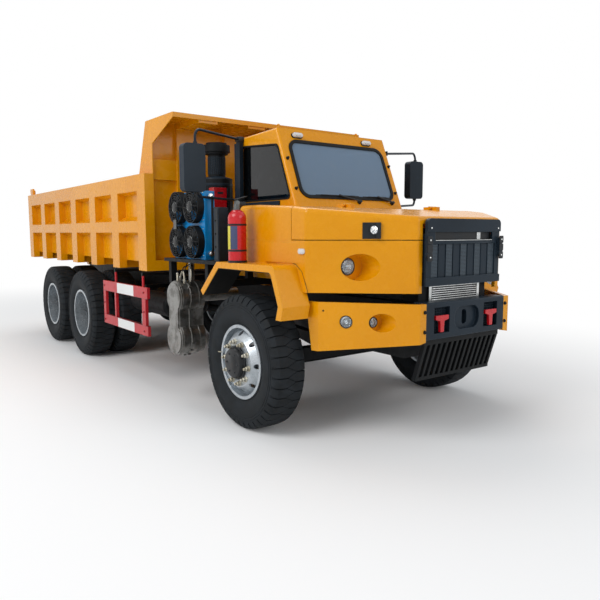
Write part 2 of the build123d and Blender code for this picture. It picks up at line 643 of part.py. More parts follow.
def nose():
    """Bonnet lid, front wings with their wheel flares, cowl, grille and lamps."""
    lid_rear = BONNET_REAR - MOVING_GAP
    slope = ((NOSE_FRONT - 20, BONNET_FRONT_Z), (BONNET_REAR, BONNET_REAR_Z))
    hinge_y, hinge_z = BONNET_HINGE
    low = SEAM_Z + MOVING_GAP
    sky = 2000.0
    with BuildPart() as cavity:
        plan_plate(mirrored(nose_outline(PANEL, lid_rear + 1)), (low - 1, sky))
        side_plate(
            (
                (slope[0][0], slope[0][1] - PANEL), (slope[1][0], slope[1][1] - PANEL),
                (BONNET_REAR, sky), (slope[0][0], sky)), (-1200, 1200), Mode.SUBTRACT)

    with BuildPart() as bonnet:
        plan_plate(mirrored(nose_outline(0.0, lid_rear)), (low, 1900.0))
        side_plate((slope[0], slope[1], (BONNET_REAR, sky), (slope[0][0], sky)), (-1200, 1200), Mode.SUBTRACT)
        top_edges = bonnet.faces().sort_by(Axis.Z)[-1].edges().sort_by(Axis.Y)[:-1]
        uprights = bonnet.edges().filter_by(Axis.Z).filter_by(lambda edge: edge.center().Y < aft(lid_rear) - 20)
        fillet(top_edges + uprights, NOSE_ROUND)
        add(cavity.part, mode=Mode.SUBTRACT)
        block((-NOSE_INNER_X, NOSE_INNER_X), (NOSE_FRONT - 1, NOSE_FRONT + 60), (low - 1, 1630.0), Mode.SUBTRACT)
        for x in BONNET_HINGES:
            block((x - 20, x + 20), (BONNET_REAR - 70, hinge_y), (BONNET_REAR_Z - 12, hinge_z + 8))
            bar(HINGE_KNUCKLE_RADIUS, (x - 20, hinge_y, hinge_z), (x + 20, hinge_y, hinge_z))
            bar(
                HINGE_ROD_RADIUS + RUNNING_CLEARANCE,
                (x - 30, hinge_y, hinge_z), (x + 30, hinge_y, hinge_z), mode=Mode.SUBTRACT)
    save(bonnet, "bonnet")

    side_x = NOSE_BEND[0]
    with BuildPart() as cowl:
        block((-side_x, side_x), (BONNET_REAR, NOSE_REAR), (SEAM_Z, 1900.0))
        side_plate(
            ((BONNET_REAR - 1, BONNET_REAR_Z), (0, COWL_REAR_Z), (NOSE_REAR + 1, COWL_REAR_Z), (NOSE_REAR + 1, sky),
             (BONNET_REAR - 1, sky)), (-1200, 1200), Mode.SUBTRACT)
        shoulders = [
            edge for edge in cowl.edges().filter_by(Axis.X, reverse=True)
            if abs(edge.center().X) > side_x - 1 and edge.center().Z > BONNET_REAR_Z]
        fillet(shoulders, NOSE_ROUND)
        block((-CAB_HALF, CAB_HALF), (0, NOSE_REAR + 1), (SEAM_Z - 1, sky), Mode.SUBTRACT)
        block(
            (-side_x + PANEL, side_x - PANEL), (BONNET_REAR - 1, -PANEL),
            (SEAM_Z - 1, BONNET_REAR_Z - PANEL), Mode.SUBTRACT)
        for side in (-1, 1):
            block(
                (side * (CAB_HALF + PANEL), side * (side_x - PANEL)), (-PANEL - 1, NOSE_REAR - PANEL),
                (SEAM_Z - 1, COWL_REAR_Z - PANEL), Mode.SUBTRACT)
            block((side * 215.0, side * 605.0), (-105.0, -25.0), (BONNET_REAR_Z + 4, sky), Mode.SUBTRACT)
        for x in BONNET_HINGES:
            for low_x, high_x in ((x - 44, x - 26), (x + 26, x + 44)):
                block((low_x, high_x), (hinge_y, BONNET_REAR + 60), (BONNET_REAR_Z - 15, hinge_z + 8))
                bar(HINGE_KNUCKLE_RADIUS, (low_x, hinge_y, hinge_z), (high_x, hinge_y, hinge_z))
            bar(HINGE_ROD_RADIUS, (x - 44, hinge_y, hinge_z), (x + 44, hinge_y, hinge_z))
    save(cowl, "cowl")

    for name, side in SIDES:
        place = WING_SCOOP[4]
        with BuildPart() as housing:
            oval_bar(WING_SCOOP, side, SCOOP_WALL, (NOSE_FRONT, place + SCOOP_WALL))
            inside = nose_outline(PANEL / 2, NOSE_REAR) + [(0, NOSE_REAR), (0, NOSE_FRONT + PANEL / 2)]
            plan_plate([(side * x, y) for x, y in inside], (PANEL_BOTTOM, SEAM_Z), Mode.INTERSECT)
        with BuildPart() as wing:
            outer, inner = nose_outline(0.0, NOSE_REAR), nose_outline(PANEL, NOSE_REAR)
            band = [(NOSE_INNER_X, NOSE_FRONT)] + outer + inner[::-1] + [(NOSE_INNER_X, NOSE_FRONT + PANEL)]
            plan_plate([(side * x, y) for x, y in band], (PANEL_BOTTOM, SEAM_Z))
            corners = [(side * x, aft(y)) for x, y in outer[:2]]
            uprights = [
                edge for edge in wing.edges().filter_by(Axis.Z)
                if min(hypot(edge.center().X - x, edge.center().Y - y) for x, y in corners) < 1]
            fillet(uprights, NOSE_ROUND)
            arch = ((-684, 900), (-684, 978), (-606, 1134), (-506, 1285), (300, 1285), (300, 900))
            side_plate(arch, (side * 500.0, side * 1100.0), Mode.SUBTRACT)
            block((side * 660.0, side * NOSE_BEND[0]), (-506.0, NOSE_REAR), (1285.0, 1305.0))
            pressing = ((1035, -625), (1040, -625), (1054, -150), (1035, -150))
            plan_plate([(side * x, y) for x, y in pressing], (FLARE_TOP + 12, SEAM_Z - 14))
            flare = (
                (545, 1080), (264, FLARE_TOP), (-546, FLARE_TOP), (-665, 1048), (-640, 950),
                (-576, 950), (-606, 1048), (-510, 1285), (239, 1285), (508, 1042))
            side_plate(
                flare, (side * (NOSE_BEND[0] - PANEL), side * FLARE_X),
                rounds=(((-546, FLARE_TOP), 55.0), ((-510, 1285), 40.0)))
            add(housing.part)
            cut_scoop(WING_SCOOP, side, NOSE_FRONT - 50)
        save(wing, f"wing_{name}")

    with BuildPart() as grille:
        cap_half, cap_low, cap_high = GRILLE_CAP
        slot_half, slot_low, slot_high = GRILLE_SLOT
        mesh_half, mesh_low, mesh_high = GRILLE_MESH
        bottom = 1190.0
        ys = (GRILLE_FRONT, GRILLE_BACK)
        block((-cap_half, cap_half), ys, (bottom, cap_low + 10))
        with BuildSketch(Plane.XZ.offset(-aft(GRILLE_BACK))) as cap:
            with Locations((0, (cap_low + cap_high) / 2)):
                Rectangle(2 * cap_half, cap_high - cap_low)
            fillet(cap.vertices().group_by(Axis.Y)[-1], 35.0)
        extrude(cap.sketch, amount=GRILLE_BACK - GRILLE_FRONT + 12)
        block((-NOSE_INNER_X, NOSE_INNER_X), (GRILLE_FRONT - 8, GRILLE_FRONT), (bottom, bottom + 56))
        block((-slot_half, slot_half), (ys[0] - 1, ys[1] + 1), (slot_low, slot_high), Mode.SUBTRACT)
        block((-mesh_half, mesh_half), (ys[0] - 1, ys[1] - 6), (mesh_low, mesh_high), Mode.SUBTRACT)
        for band in range(MESH_BANDS):
            middle = (band - (MESH_BANDS - 1) / 2) * MESH_PITCH
            for offset in (-20.0, 0.0, 20.0):
                xs = (middle + offset - 4, middle + offset + 4)
                block(xs, (ys[1] - 7, ys[1] + 1), (mesh_low + 16, mesh_high - 16), Mode.SUBTRACT)
        for side in (-1, 1):
            block([side * x for x in GRILLE_FLANGE], (GRILLE_BACK, -985.0), (bottom, 1560.0))
            block((side * 392.0, side * 430.0), (GRILLE_FRONT - 22, GRILLE_FRONT), (1395.0, 1525.0))
            bar(24.0, (side * 411.0, GRILLE_FRONT - 26, 1410.0), (side * 411.0, GRILLE_FRONT, 1410.0))
    save(grille, "grille")


def bumper_housing(side):
    """The housing behind a bumper lamp's pocket, ending inside the bumper's plate."""
    place = BUMPER_SCOOP[4]
    shift = BUMPER_PLATE / 2
    inside = (
        (BUMPER_HALF, BUMPER_FRONT + shift), (BUMPER_CORNER_X - shift / 2, BUMPER_FRONT + shift),
        (BUMPER_BEND[0] - shift, BUMPER_BEND[1] + shift / 2), (BUMPER_HALF, BUMPER_BEND[1]))
    with BuildPart(mode=Mode.PRIVATE) as housing:
        oval_bar(BUMPER_SCOOP, side, SCOOP_WALL, (BUMPER_FRONT, place + SCOOP_WALL))
        plan_plate([(side * x, y) for x, y in inside], (BUMPER_BOTTOM, BUMPER_TOP), Mode.INTERSECT)
    return housing.part


def bumper():
    """Black centre bumper with hooks and skid guard, and the yellow swept corners."""
    pocket_in, pocket_out, pocket_low, pocket_high = HOOK_POCKET
    floor = BUMPER_FRONT + HOOK_DEPTH
    with BuildPart() as bumper_centre:
        block((-BUMPER_HALF, BUMPER_HALF), (BUMPER_FRONT, FRAME_FRONT), (BUMPER_BOTTOM, BUMPER_TOP))
        chamfer(bumper_centre.faces().sort_by(Axis.Y)[0].edges().filter_by(Axis.X), 8.0)
        for depth, width, height, corner in ((30.0, 286.0, 170.0, 78.0), (90.0, 62.0, 112.0, 30.0)):
            with BuildSketch(Plane.XZ.offset(-aft(BUMPER_FRONT + depth))) as jaw:
                with Locations((0, 946.0)):
                    RectangleRounded(width, height, corner)
            extrude(jaw.sketch, amount=depth + 1, mode=Mode.SUBTRACT)
        bar(11.0, (0, BUMPER_FRONT + 60, 880.0), (0, BUMPER_FRONT + 60, 1012.0))
        for side in (-1, 1):
            block(
                (side * pocket_in, side * pocket_out), (BUMPER_FRONT - 1, floor), (pocket_low, pocket_high),
                Mode.SUBTRACT)
    save(bumper_centre, "bumper_centre")

    with BuildPart() as tow_hooks:
        hook = ((216, 981), (353, 981), (353, 952), (306, 940), (301, 861), (267, 861), (262, 940), (216, 952))
        for side in (-1, 1):
            front_plate([(side * x, z) for x, z in hook], (BUMPER_FRONT - 6, BUMPER_FRONT + 16))
            bar(16.0, (side * 284.0, BUMPER_FRONT + 16, 955.0), (side * 284.0, floor, 955.0))
    save(tow_hooks, "tow_hooks")

    inner_corner = BUMPER_CORNER_X - 17.0
    with BuildPart() as bumper_corners:
        for side in (-1, 1):
            outline = (
                (BUMPER_HALF, BUMPER_FRONT), (BUMPER_CORNER_X, BUMPER_FRONT), BUMPER_BEND, (985, -600), (955, -600),
                (932, -686), (inner_corner, BUMPER_FRONT + BUMPER_PLATE), (BUMPER_HALF, BUMPER_FRONT + BUMPER_PLATE))
            plan_plate([(side * x, y) for x, y in outline], (711.0, 1072.0))
            block((side * RAIL_OUTER_X, side * 730.0), (-960.0, -900.0), (880.0, 1000.0))
            front_plate(
                ((side * 400, 700), (side * 400, 800), (side * BUMPER_HALF, 800), (side * 960, 711), (side * 960, 700)),
                (-1300, -600), Mode.SUBTRACT)
            side_plate(((-640, 700), (-590, 1080), (-500, 1080), (-500, 700)), (side * 900, side * 1000), Mode.SUBTRACT)
            add(bumper_housing(side))
            cut_scoop(BUMPER_SCOOP, side, BUMPER_FRONT - 50)
            face = sweep_plane((BUMPER_CORNER_X, BUMPER_FRONT), BUMPER_BEND, side)
            with BuildSketch(face.offset(-2 * BUMPER_PLATE)) as hole:
                with Locations((side * FLUSH_LAMP[0], FLUSH_LAMP[1])):
                    Circle(FLUSH_LAMP[2] + SEAT_GAP)
            extrude(hole.sketch, amount=3 * BUMPER_PLATE, mode=Mode.SUBTRACT)
    save(bumper_corners, "bumper_corners")

    with BuildPart() as skid_guard:
        block((-430.0, 430.0), (-1240.0, -1200.0), (770.0, BUMPER_BOTTOM))
        for index in range(15):
            middle = -413.0 + index * 59.0
            side_plate(
                ((-1240, 770), (-1205, 770), (-1120, 500), (-1155, 500)), (middle - 12, middle + 12))
        block((-425.0, 425.0), (-1160.0, -1120.0), (495.0, 520.0))
    save(skid_guard, "skid_guard")

    with BuildPart() as front_lamps:
        for side in (-1, 1):
            for scoop in (WING_SCOOP, BUMPER_SCOOP):
                place, x, height, radius = scoop[4:]
                bar(radius, (side * x, place - 8, height), (side * x, place + LAMP_DEPTH, height))
            face = sweep_plane((BUMPER_CORNER_X, BUMPER_FRONT), BUMPER_BEND, side)
            with BuildSketch(face.offset(-BUMPER_PLATE - 20)) as lens:
                with Locations((side * FLUSH_LAMP[0], FLUSH_LAMP[1])):
                    Circle(FLUSH_LAMP[2])
            extrude(lens.sketch, amount=BUMPER_PLATE + 24)
    save(front_lamps, "front_lamps")


def cab():
    """Narrow centre cab: shell, glass, left door, side frames and what is inside."""
    base_y, base_z = SCREEN_BASE
    roof_y, roof_z = ROOF_FRONT
    rake = atan2(roof_z - base_z, roof_y - base_y)
    screen = Plane(
        origin=(0, aft((base_y + roof_y) / 2), (base_z + roof_z) / 2),
        x_dir=(1, 0, 0),
        z_dir=(0, -sin(rake), cos(rake)),
    )
    profile = (
        (base_y, CAB_BASE), (base_y, base_z), (roof_y, roof_z), (CAB_REAR, ROOF_REAR_Z), (CAB_REAR, CAB_BASE))
    wall = CAB_WALL
    lean = wall / sin(rake)
    hollow = (
        (base_y + wall, CAB_BASE + wall), (base_y + wall, base_z), (roof_y + lean, roof_z - wall),
        (CAB_REAR - wall, ROOF_REAR_Z - wall), (CAB_REAR - wall, CAB_BASE + wall))
    side_window = ((60, 1850), (255, 2328), (835, 2366), (835, 1850))
    quarter_window = ((115, 1845), (230, 2122), (230, 1853))
    door_window = ((345, 1860), (345, 2290), (855, 2320), (855, 1885))
    window_rounds = [(corner, WINDOW_CORNER) for corner in side_window]
    door_rounds = [(corner, WINDOW_CORNER) for corner in door_window]
    door_hole = ((270, 1220), (270, 2352), (910, 2385), (910, 1220))
    with BuildPart() as cab_shell:
        side_plate(profile, (-CAB_HALF, CAB_HALF))
        pillar_and_roof_edges = [
            edge for edge in cab_shell.edges().filter_by(Axis.X, reverse=True)
            if edge.center().Z > base_z + 100]
        fillet(pillar_and_roof_edges, CAB_ROUND)
        side_plate(hollow, (-CAB_HALF + wall, CAB_HALF - wall), Mode.SUBTRACT)
        with BuildSketch(screen) as opening:
            with Locations((0, SCREEN_SHIFT)):
                RectangleRounded(*SCREEN_SIZE, SCREEN_CORNER)
        extrude(opening.sketch, amount=80.0, both=True, mode=Mode.SUBTRACT)
        side_plate(side_window, (-CAB_HALF - 1, -CAB_HALF + wall + 1), Mode.SUBTRACT, window_rounds)
        side_plate(door_hole, (CAB_HALF - wall - 1, CAB_HALF + 1), Mode.SUBTRACT)
        side_plate(quarter_window, (CAB_HALF - wall - 1, CAB_HALF + 1), Mode.SUBTRACT)
        block((-450.0, 450.0), (CAB_REAR - wall - 1, CAB_REAR + 1), (1850.0, 2330.0), Mode.SUBTRACT)
        for side in (-1, 1):
            for place in (150.0, 800.0):
                block((side * 360.0, side * 420.0), (place, place + 80.0), (RAIL_TOP, CAB_BASE))
        hinge_x, hinge_y = DOOR_HINGE
        for height in DOOR_HINGES:
            block((CAB_HALF - 1, hinge_x + 4), (hinge_y - 28, hinge_y), (height - 45, height - 16))
            bar(HINGE_KNUCKLE_RADIUS, (hinge_x, hinge_y, height - 45), (hinge_x, hinge_y, height - 16))
            bar(HINGE_ROD_RADIUS, (hinge_x, hinge_y, height - 45), (hinge_x, hinge_y, height + 30))
    save(cab_shell, "cab_shell")

    with BuildPart() as cab_glass:
        with BuildSketch(screen) as pane:
            with Locations((0, SCREEN_SHIFT)):
                RectangleRounded(
                    SCREEN_SIZE[0] - 2 * SEAT_GAP, SCREEN_SIZE[1] - 2 * SEAT_GAP, SCREEN_CORNER - SEAT_GAP)
        extrude(pane.sketch, amount=-GLASS)
        side_plate(side_window, (-CAB_HALF + 12, -CAB_HALF + 12 + GLASS), rounds=window_rounds)
        side_plate(quarter_window, (CAB_HALF - 18, CAB_HALF - 12))
        block((-450.0, 450.0), (CAB_REAR - 18, CAB_REAR - 12), (1850.0, 2330.0))
    save(cab_glass, "cab_glass")

    with BuildPart() as door:
        gap = MOVING_GAP
        side_plate(
            (
                (DOOR_FRONT, 1220 + gap), (DOOR_FRONT, 2350 - gap), (DOOR_REAR, 2382 - gap),
                (DOOR_REAR, 1220 + gap)), (CAB_HALF - wall, CAB_HALF))
        for height in DOOR_HINGES:
            block((CAB_HALF + 2, hinge_x + 4), (hinge_y, DOOR_FRONT + 60), (height - 15, height + 30))
            block((CAB_HALF - 1, CAB_HALF + 3), (DOOR_FRONT + 4, DOOR_FRONT + 60), (height - 15, height + 30))
            bar(HINGE_KNUCKLE_RADIUS, (hinge_x, hinge_y, height - 15), (hinge_x, hinge_y, height + 30))
            bar(
                HINGE_ROD_RADIUS + RUNNING_CLEARANCE,
                (hinge_x, hinge_y, height - 20), (hinge_x, hinge_y, height + 35), mode=Mode.SUBTRACT)
        side_plate(door_window, (CAB_HALF - wall - 1, CAB_HALF + 1), Mode.SUBTRACT, door_rounds)
    save(door, "door_left")

    with BuildPart() as door_glass:
        side_plate(door_window, (CAB_HALF - 18, CAB_HALF - 12), rounds=door_rounds)
    save(door_glass, "door_glass")

    with BuildPart() as side_frames:
        for side, rear in ((-1, 870.0), (1, 916.0)):
            xs = (side * CAB_HALF, side * (CAB_HALF + 14))
            block(xs, (rear, CAB_REAR), (COWL_REAR_Z, 2400.0))
            block(xs, (NOSE_REAR, 262.0 if side > 0 else rear), (COWL_REAR_Z, 1842.0))
    save(side_frames, "side_frames")

    with BuildPart() as mirrors:
        post_out, post_in, post_front, post_rear = MIRROR_POST
        foot_x = CAB_HALF + 10
        block((post_out, post_in), (post_front, post_rear), (1842.0, 2442.0))
        block((post_in, -CAB_HALF), (post_front + 10, post_rear - 10), (2392.0, 2424.0))
        for place, height in ((245, 2335), (190, 1818)):
            block((CAB_HALF, foot_x + 2), (place - 18, place + 18), (height - 22, height + 22))
        start = ((post_out + post_in) / 2, (post_front + post_rear) / 2)
        # tube outline as (x, place, height) from its upper to its lower seat, then the head's
        # outer x and middle height
        tubes = (
            (((*start, 2425), (-1278, 540, 2428), (-1278, 540, 1872), (*start, 1868)), 1404.0, 2105.0),
            (((foot_x, 245, 2335), (1345, 500, 2415), (1345, 500, 1862), (foot_x, 190, 1818)), 1430.0, 2128.0),
        )
        for route, outer_x, middle in tubes:
            with BuildLine() as centre_line:
                FilletPolyline(*[(x, aft(y), z) for x, y, z in route], radius=MIRROR_BEND)
            with BuildSketch(Plane(origin=centre_line.line @ 0, z_dir=centre_line.line % 0)):
                Circle(MIRROR_TUBE_RADIUS)
            sweep(path=centre_line.line)
            x, place = route[1][:2]
            sign = 1 if x > 0 else -1
            with BuildSketch(Plane.XZ.offset(-aft(place + MIRROR_HEAD[1] / 2))):
                with Locations((sign * (outer_x - MIRROR_HEAD[0] / 2), middle)):
                    RectangleRounded(MIRROR_HEAD[0], MIRROR_HEAD[2], MIRROR_CORNER)
            extrude(amount=MIRROR_HEAD[1])
    save(mirrors, "mirrors")

    with BuildPart() as cab_fittings:
        block((-CAB_HALF + wall, CAB_HALF - wall), (base_y + wall, 230.0), (1500.0, 1770.0))
        bar(25.0, (0, 200.0, 1600.0), (0, 330.0, 1790.0))
        with Locations(Plane(origin=(0, aft(336.0), 1800.0), z_dir=(0, 0.56, 0.83)).location):
            Torus(215.0, 14.0)
            Cylinder(40.0, 24.0)
            for angle in (90.0, 210.0, 330.0):
                with Locations(Location((0, 0, 0), (0, 0, angle))):
                    with Locations((108.0, 0, 0)):
                        Box(200.0, 26.0, 10.0)
        block((-CAB_HALF + wall, -CAB_HALF + wall + 90.0), (640.0, 800.0), (CAB_BASE + wall, 2205.0))
    save(cab_fittings, "cab_fittings")

    with BuildPart() as seat:
        block((-150.0, 150.0), (480.0, 800.0), (CAB_BASE + wall, 1480.0))
        block((-240.0, 240.0), (400.0, 830.0), (1480.0, 1600.0))
        side_plate(((740, 1600), (790, 2180), (870, 2180), (830, 1600)), (-230.0, 230.0))
    save(seat, "seat")


def equipment():
    """Decks behind the wings with the cooler, boxes, cleaner, tanks, muffler and guards."""
    with BuildPart() as side_decks:
        for side, start, top in ((-1, 340.0, DECK_TOP), (1, 455.0, STEP_DECK_TOP)):
            block((side * (CAB_HALF + 20), side * 1190.0), (start, 1400.0), (top - 30, top))
            for place in (600.0, 1330.0):
                ys = (place, place + 50.0)
                block((side * RAIL_OUTER_X, side * 1150.0), ys, (RAIL_TOP + 30, RAIL_TOP + 90))
                block((side * RAIL_OUTER_X, side * (RAIL_OUTER_X + 14)), ys, (RAIL_BOTTOM + 60, RAIL_TOP + 90))
                for foot in (680.0, 1090.0):
                    block((side * foot, side * (foot + 60.0)), ys, (RAIL_TOP + 90, top - 30))
            for place in GUARD_ARMS:
                block((side * RAIL_OUTER_X, side * 1246.0), (place - 15, place + 15), (1130.0, 1160.0))
                block((side * RAIL_OUTER_X, side * (RAIL_OUTER_X + 14)), (place - 15, place + 15), (1000.0, 1160.0))
        for x in (900.0, 1170.0):
            block((x, x + 14.0), (680.0, 960.0), (450.0, STEP_DECK_TOP - 30))
        for height in (450.0, 700.0, 950.0):
            block((900.0, 1184.0), (680.0, 960.0), (height, height + 20.0))
    save(side_decks, "side_decks")

    with BuildPart() as extinguisher:
        x, place = -1182.0, 45.0
        base, shoulder, radius = FLARE_TOP, 1752.0, 72.0
        with BuildSketch(Plane(origin=(x, aft(place), 0), x_dir=(1, 0, 0), z_dir=(0, -1, 0))) as half:
            with BuildLine():
                Line((0, base), (radius, base))
                Line((radius, base), (radius, shoulder - radius))
                TangentArc((radius, shoulder - radius), (24, shoulder - 4), tangent=(0, 1))
                Line((24, shoulder - 4), (24, shoulder + 40))
                Line((24, shoulder + 40), (0, shoulder + 40))
                Line((0, shoulder + 40), (0, base))
            make_face()
        revolve(half.sketch, axis=Axis((x, aft(place), 0), (0, 0, 1)))
        block((x - 15, x + 75), (place - 12, place + 12), (shoulder + 30, shoulder + 58))
    save(extinguisher, "extinguisher")

    with BuildPart() as control_box:
        block((-1170.0, -1078.0), (360.0, 440.0), (DECK_TOP, 1780.0))
    save(control_box, "control_box")

    with BuildPart() as tool_box:
        block((-872.0, -737.0), (965.0, 1062.0), (1808.0, 1990.0))
        block((-820.0, -790.0), (1000.0, 1030.0), (DECK_TOP, 1808.0))
    save(tool_box, "tool_box")

    with BuildPart() as air_cleaner:
        x, place = -690.0, 1230.0
        # radius, lower and upper height of each stage
        for radius, low, high in (
            (60.0, DECK_TOP, 1700.0), (152.0, 1700.0, 2085.0), (84.0, 2085.0, 2340.0),
            (112.0, 2325.0, 2345.0), (131.0, 2345.0, 2412.0), (100.0, 2412.0, 2434.0),
        ):
            bar(radius, (x, place, low), (x, place, high))
        block((x - 100, -CAB_HALF - 22), (place - 60, place + 60), (DECK_TOP, DECK_TOP + 12))
    save(air_cleaner, "air_cleaner")

    cooler_face = -1115.0
    with BuildPart() as oil_cooler:
        block((cooler_face, -1016.0), (700.0, 1300.0), (DECK_TOP, 1935.0))
    save(oil_cooler, "oil_cooler")

    fan_radius = 134.0
    guard_face = cooler_face - 65.0
    hub_back, hub_front = cooler_face - 17.5, cooler_face - 46.0
    with BuildPart() as fan_guards:
        for place, height in FANS:
            bar(fan_radius + 12, (cooler_face, place, height), (guard_face, place, height))
            bar(
                fan_radius + 6, (cooler_face, place, height), (guard_face, place, height), mode=Mode.SUBTRACT)
            bar(30.0, (cooler_face, place, height), (hub_back + SEAT_GAP, place, height))
            bar(42.0, (guard_face + 10, place, height), (guard_face - 2, place, height))
            for angle in (0.0, 45.0, 90.0, 135.0):
                dy, dz = (fan_radius + 8) * cos(radians(angle)), (fan_radius + 8) * sin(radians(angle))
                bar(4.0, (guard_face + 5, place - dy, height - dz), (guard_face + 5, place + dy, height + dz))
    save(fan_guards, "fan_guards")

    for number, (place, height) in enumerate(FANS, start=1):
        with BuildPart() as fan:
            bar(38.0, (hub_back, place, height), (hub_front, place, height))
            with Locations(Plane(origin=(FAN_X, aft(place), height), z_dir=(-1, 0, 0)).location):
                with PolarLocations(0, 7):
                    with Locations(Location((77.0, 0, 0), (28, 0, 0))):
                        Box(100.0, 44.0, 4.0)
        save(fan, f"fan_{number}")

    with BuildPart() as muffler:
        upper, lower = (985.0, 985.0), (990.0, 605.0)
        # each slice of the can: outer and inner x, and how much its outline grows
        for outer_x, inner_x, grow in ((1300.0, 1286.0, -14.0), (1286.0, 1050.0, 0.0), (1196.0, 1184.0, 9.0)):
            for (place, height), radius in ((upper, 146.0), (lower, 154.0)):
                bar(radius + grow, (-outer_x, place, height), (-inner_x, place, height))
            block((-outer_x, -inner_x), (885.0 - grow, 1090.0 + grow), (lower[1], upper[1]))
        bar(58.0, (-1050.0, *upper), (-640.0, *upper))
        for x, foot in ((-1110.0, 1120.0), (-700.0, 1035.0)):
            block((x - 20, x + 20), (965.0, 1005.0), (foot, DECK_TOP - 30))
    save(muffler, "muffler")

    with BuildPart() as side_guards:
        for side in (-1, 1):
            outer = (side * 1218.0, side * 1250.0)
            for low, high in ((517.0, 620.0), (900.0, 1015.0)):
                block(outer, (GUARD_FRONT, GUARD_REAR), (low, high))
            for start, width in ((GUARD_FRONT + 50, 90.0), (GUARD_REAR - 400, 40.0), (GUARD_REAR - 70, 70.0)):
                block(outer, (start, start + width), (517.0, 1015.0))
            for place in GUARD_ARMS:
                bar(13.0, (side * 1232.0, place, 1000.0), (side * 1232.0, place, 1130.0))
    save(side_guards, "side_guards")

    with BuildPart() as fuel_tank:
        block((470.0, 1100.0), FUEL_TANK, (560.0, 1010.0))
        fillet(fuel_tank.edges().filter_by(Axis.Y), TANK_ROUND)
        for place in (FUEL_TANK[0] + 200, FUEL_TANK[1] - 250):
            block((RAIL_OUTER_X, 470.0), (place, place + 60.0), (800.0, 1000.0))
    save(fuel_tank, "fuel_tank")

    with BuildPart() as air_tanks:
        for x, height in ((-640.0, 800.0), (-920.0, 800.0)):
            bar(125.0, (x, AIR_TANK[0], height), (x, AIR_TANK[1], height))
        fillet(air_tanks.edges().filter_by(GeomType.CIRCLE), TANK_ROUND)
        for place in (AIR_TANK[0] + 150, AIR_TANK[1] - 200):
            block((-920.0, -RAIL_OUTER_X), (place, place + 50.0), (935.0, 975.0))
            for x in (-640.0, -920.0):
                block((x - 25, x + 25), (place, place + 50.0), (900.0, 940.0))
    save(air_tanks, "air_tanks")


chassis()
drive_line()
axles()
wheels()
dump_body()
hoist()
nose()
bumper()
cab()
equipment()
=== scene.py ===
import json
from math import atan2, cos, pi, radians, sin

import bmesh
import bpy
from mathutils import Matrix, Vector


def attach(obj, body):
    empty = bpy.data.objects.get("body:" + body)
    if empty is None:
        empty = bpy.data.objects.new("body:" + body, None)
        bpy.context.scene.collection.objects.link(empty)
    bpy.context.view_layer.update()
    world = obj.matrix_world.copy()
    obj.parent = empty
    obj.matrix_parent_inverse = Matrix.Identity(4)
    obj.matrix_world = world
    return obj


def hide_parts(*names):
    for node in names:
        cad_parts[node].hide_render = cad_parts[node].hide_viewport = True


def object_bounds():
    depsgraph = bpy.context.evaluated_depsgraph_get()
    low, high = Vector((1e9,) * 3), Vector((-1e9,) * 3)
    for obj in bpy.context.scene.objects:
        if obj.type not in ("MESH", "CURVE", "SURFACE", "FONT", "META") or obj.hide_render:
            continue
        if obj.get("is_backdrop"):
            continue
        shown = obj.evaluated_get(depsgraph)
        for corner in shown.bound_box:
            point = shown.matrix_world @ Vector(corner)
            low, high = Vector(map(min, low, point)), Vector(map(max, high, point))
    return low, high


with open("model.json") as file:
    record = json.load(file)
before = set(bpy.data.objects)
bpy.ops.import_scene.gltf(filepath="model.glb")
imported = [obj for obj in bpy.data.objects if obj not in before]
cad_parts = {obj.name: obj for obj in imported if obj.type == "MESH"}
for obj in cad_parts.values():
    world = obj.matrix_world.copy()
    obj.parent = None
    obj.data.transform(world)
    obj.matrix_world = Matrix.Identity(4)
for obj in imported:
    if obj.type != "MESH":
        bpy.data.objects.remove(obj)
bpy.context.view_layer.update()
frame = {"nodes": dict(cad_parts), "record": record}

# The camera stands at the photograph's place, off the truck's right front corner.
CAMERA_PLACE = Vector((-3.6713, -6.6466, 1.5751))
CAMERA_YAW = 37.018
CAMERA_DOWN = 6.431
CAMERA_ROLL = 0.1
LENS_MM = 36.26
SENSOR_MM = 36.0

# Sizes shared by the pieces, in metres
FRONT_AXLE = -2.57
AXLE_FRAME = Matrix.Translation((0.0, FRONT_AXLE, 0.0))
WHEEL_Z = 0.5425
TYRE_RADIUS = 0.5425
FRONT_WHEEL_X = 1.075
FRONT_NUTS_X = 1.223
REAR_DISC_X = 0.9715
REAR_NUTS_X = 1.0335
REAR_WHEELS_X = (0.8, 1.143)
REAR_AXLES = (("middle", 3.79), ("rear", 5.09))
PILLAR_X = 0.6
CAB_SIDE_X = 0.6395
NOSE_SWEEP = ((0.47, -1.2), (1.04, -0.65))
BUMPER_SWEEP = ((0.51, -1.27), (0.96, -0.7))

# Directions on the truck: to its left side, backwards and up
ACROSS, BACK, UP = Vector((1, 0, 0)), Vector((0, 1, 0)), Vector((0, 0, 1))
SIDES = (("right", -1), ("left", 1))

# Node settings that most materials share, and a wave texture's spacing at scale 1, in metres
SMOOTH = {"interpolation_type": "SMOOTHSTEP"}
COLOURS = {"data_type": "RGBA"}
WAVE_SPAN = 0.314


def aft(distance):
    """The Y of a place this many metres behind the front axle."""
    return FRONT_AXLE + distance


def tone(code):
    """An sRGB hex value as a linear colour."""
    parts = [int(code[i:i + 2], 16) / 255 for i in (0, 2, 4)]
    return tuple(c / 12.92 if c <= 0.04045 else ((c + 0.055) / 1.055) ** 2.4 for c in parts) + (1.0,)


def add_node(tree, kind, inputs=(), settings=None):
    """A node's outputs; its inputs are values or other nodes' outputs, by name or in their order."""
    made = tree.nodes.new("ShaderNode" + kind)
    for name, value in (settings or {}).items():
        setattr(made, name, value)
    for name, value in inputs.items() if isinstance(inputs, dict) else enumerate(inputs):
        if isinstance(value, bpy.types.NodeSocket):
            tree.links.new(value, made.inputs[name])
        else:
            made.inputs[name].default_value = value
    return made.outputs


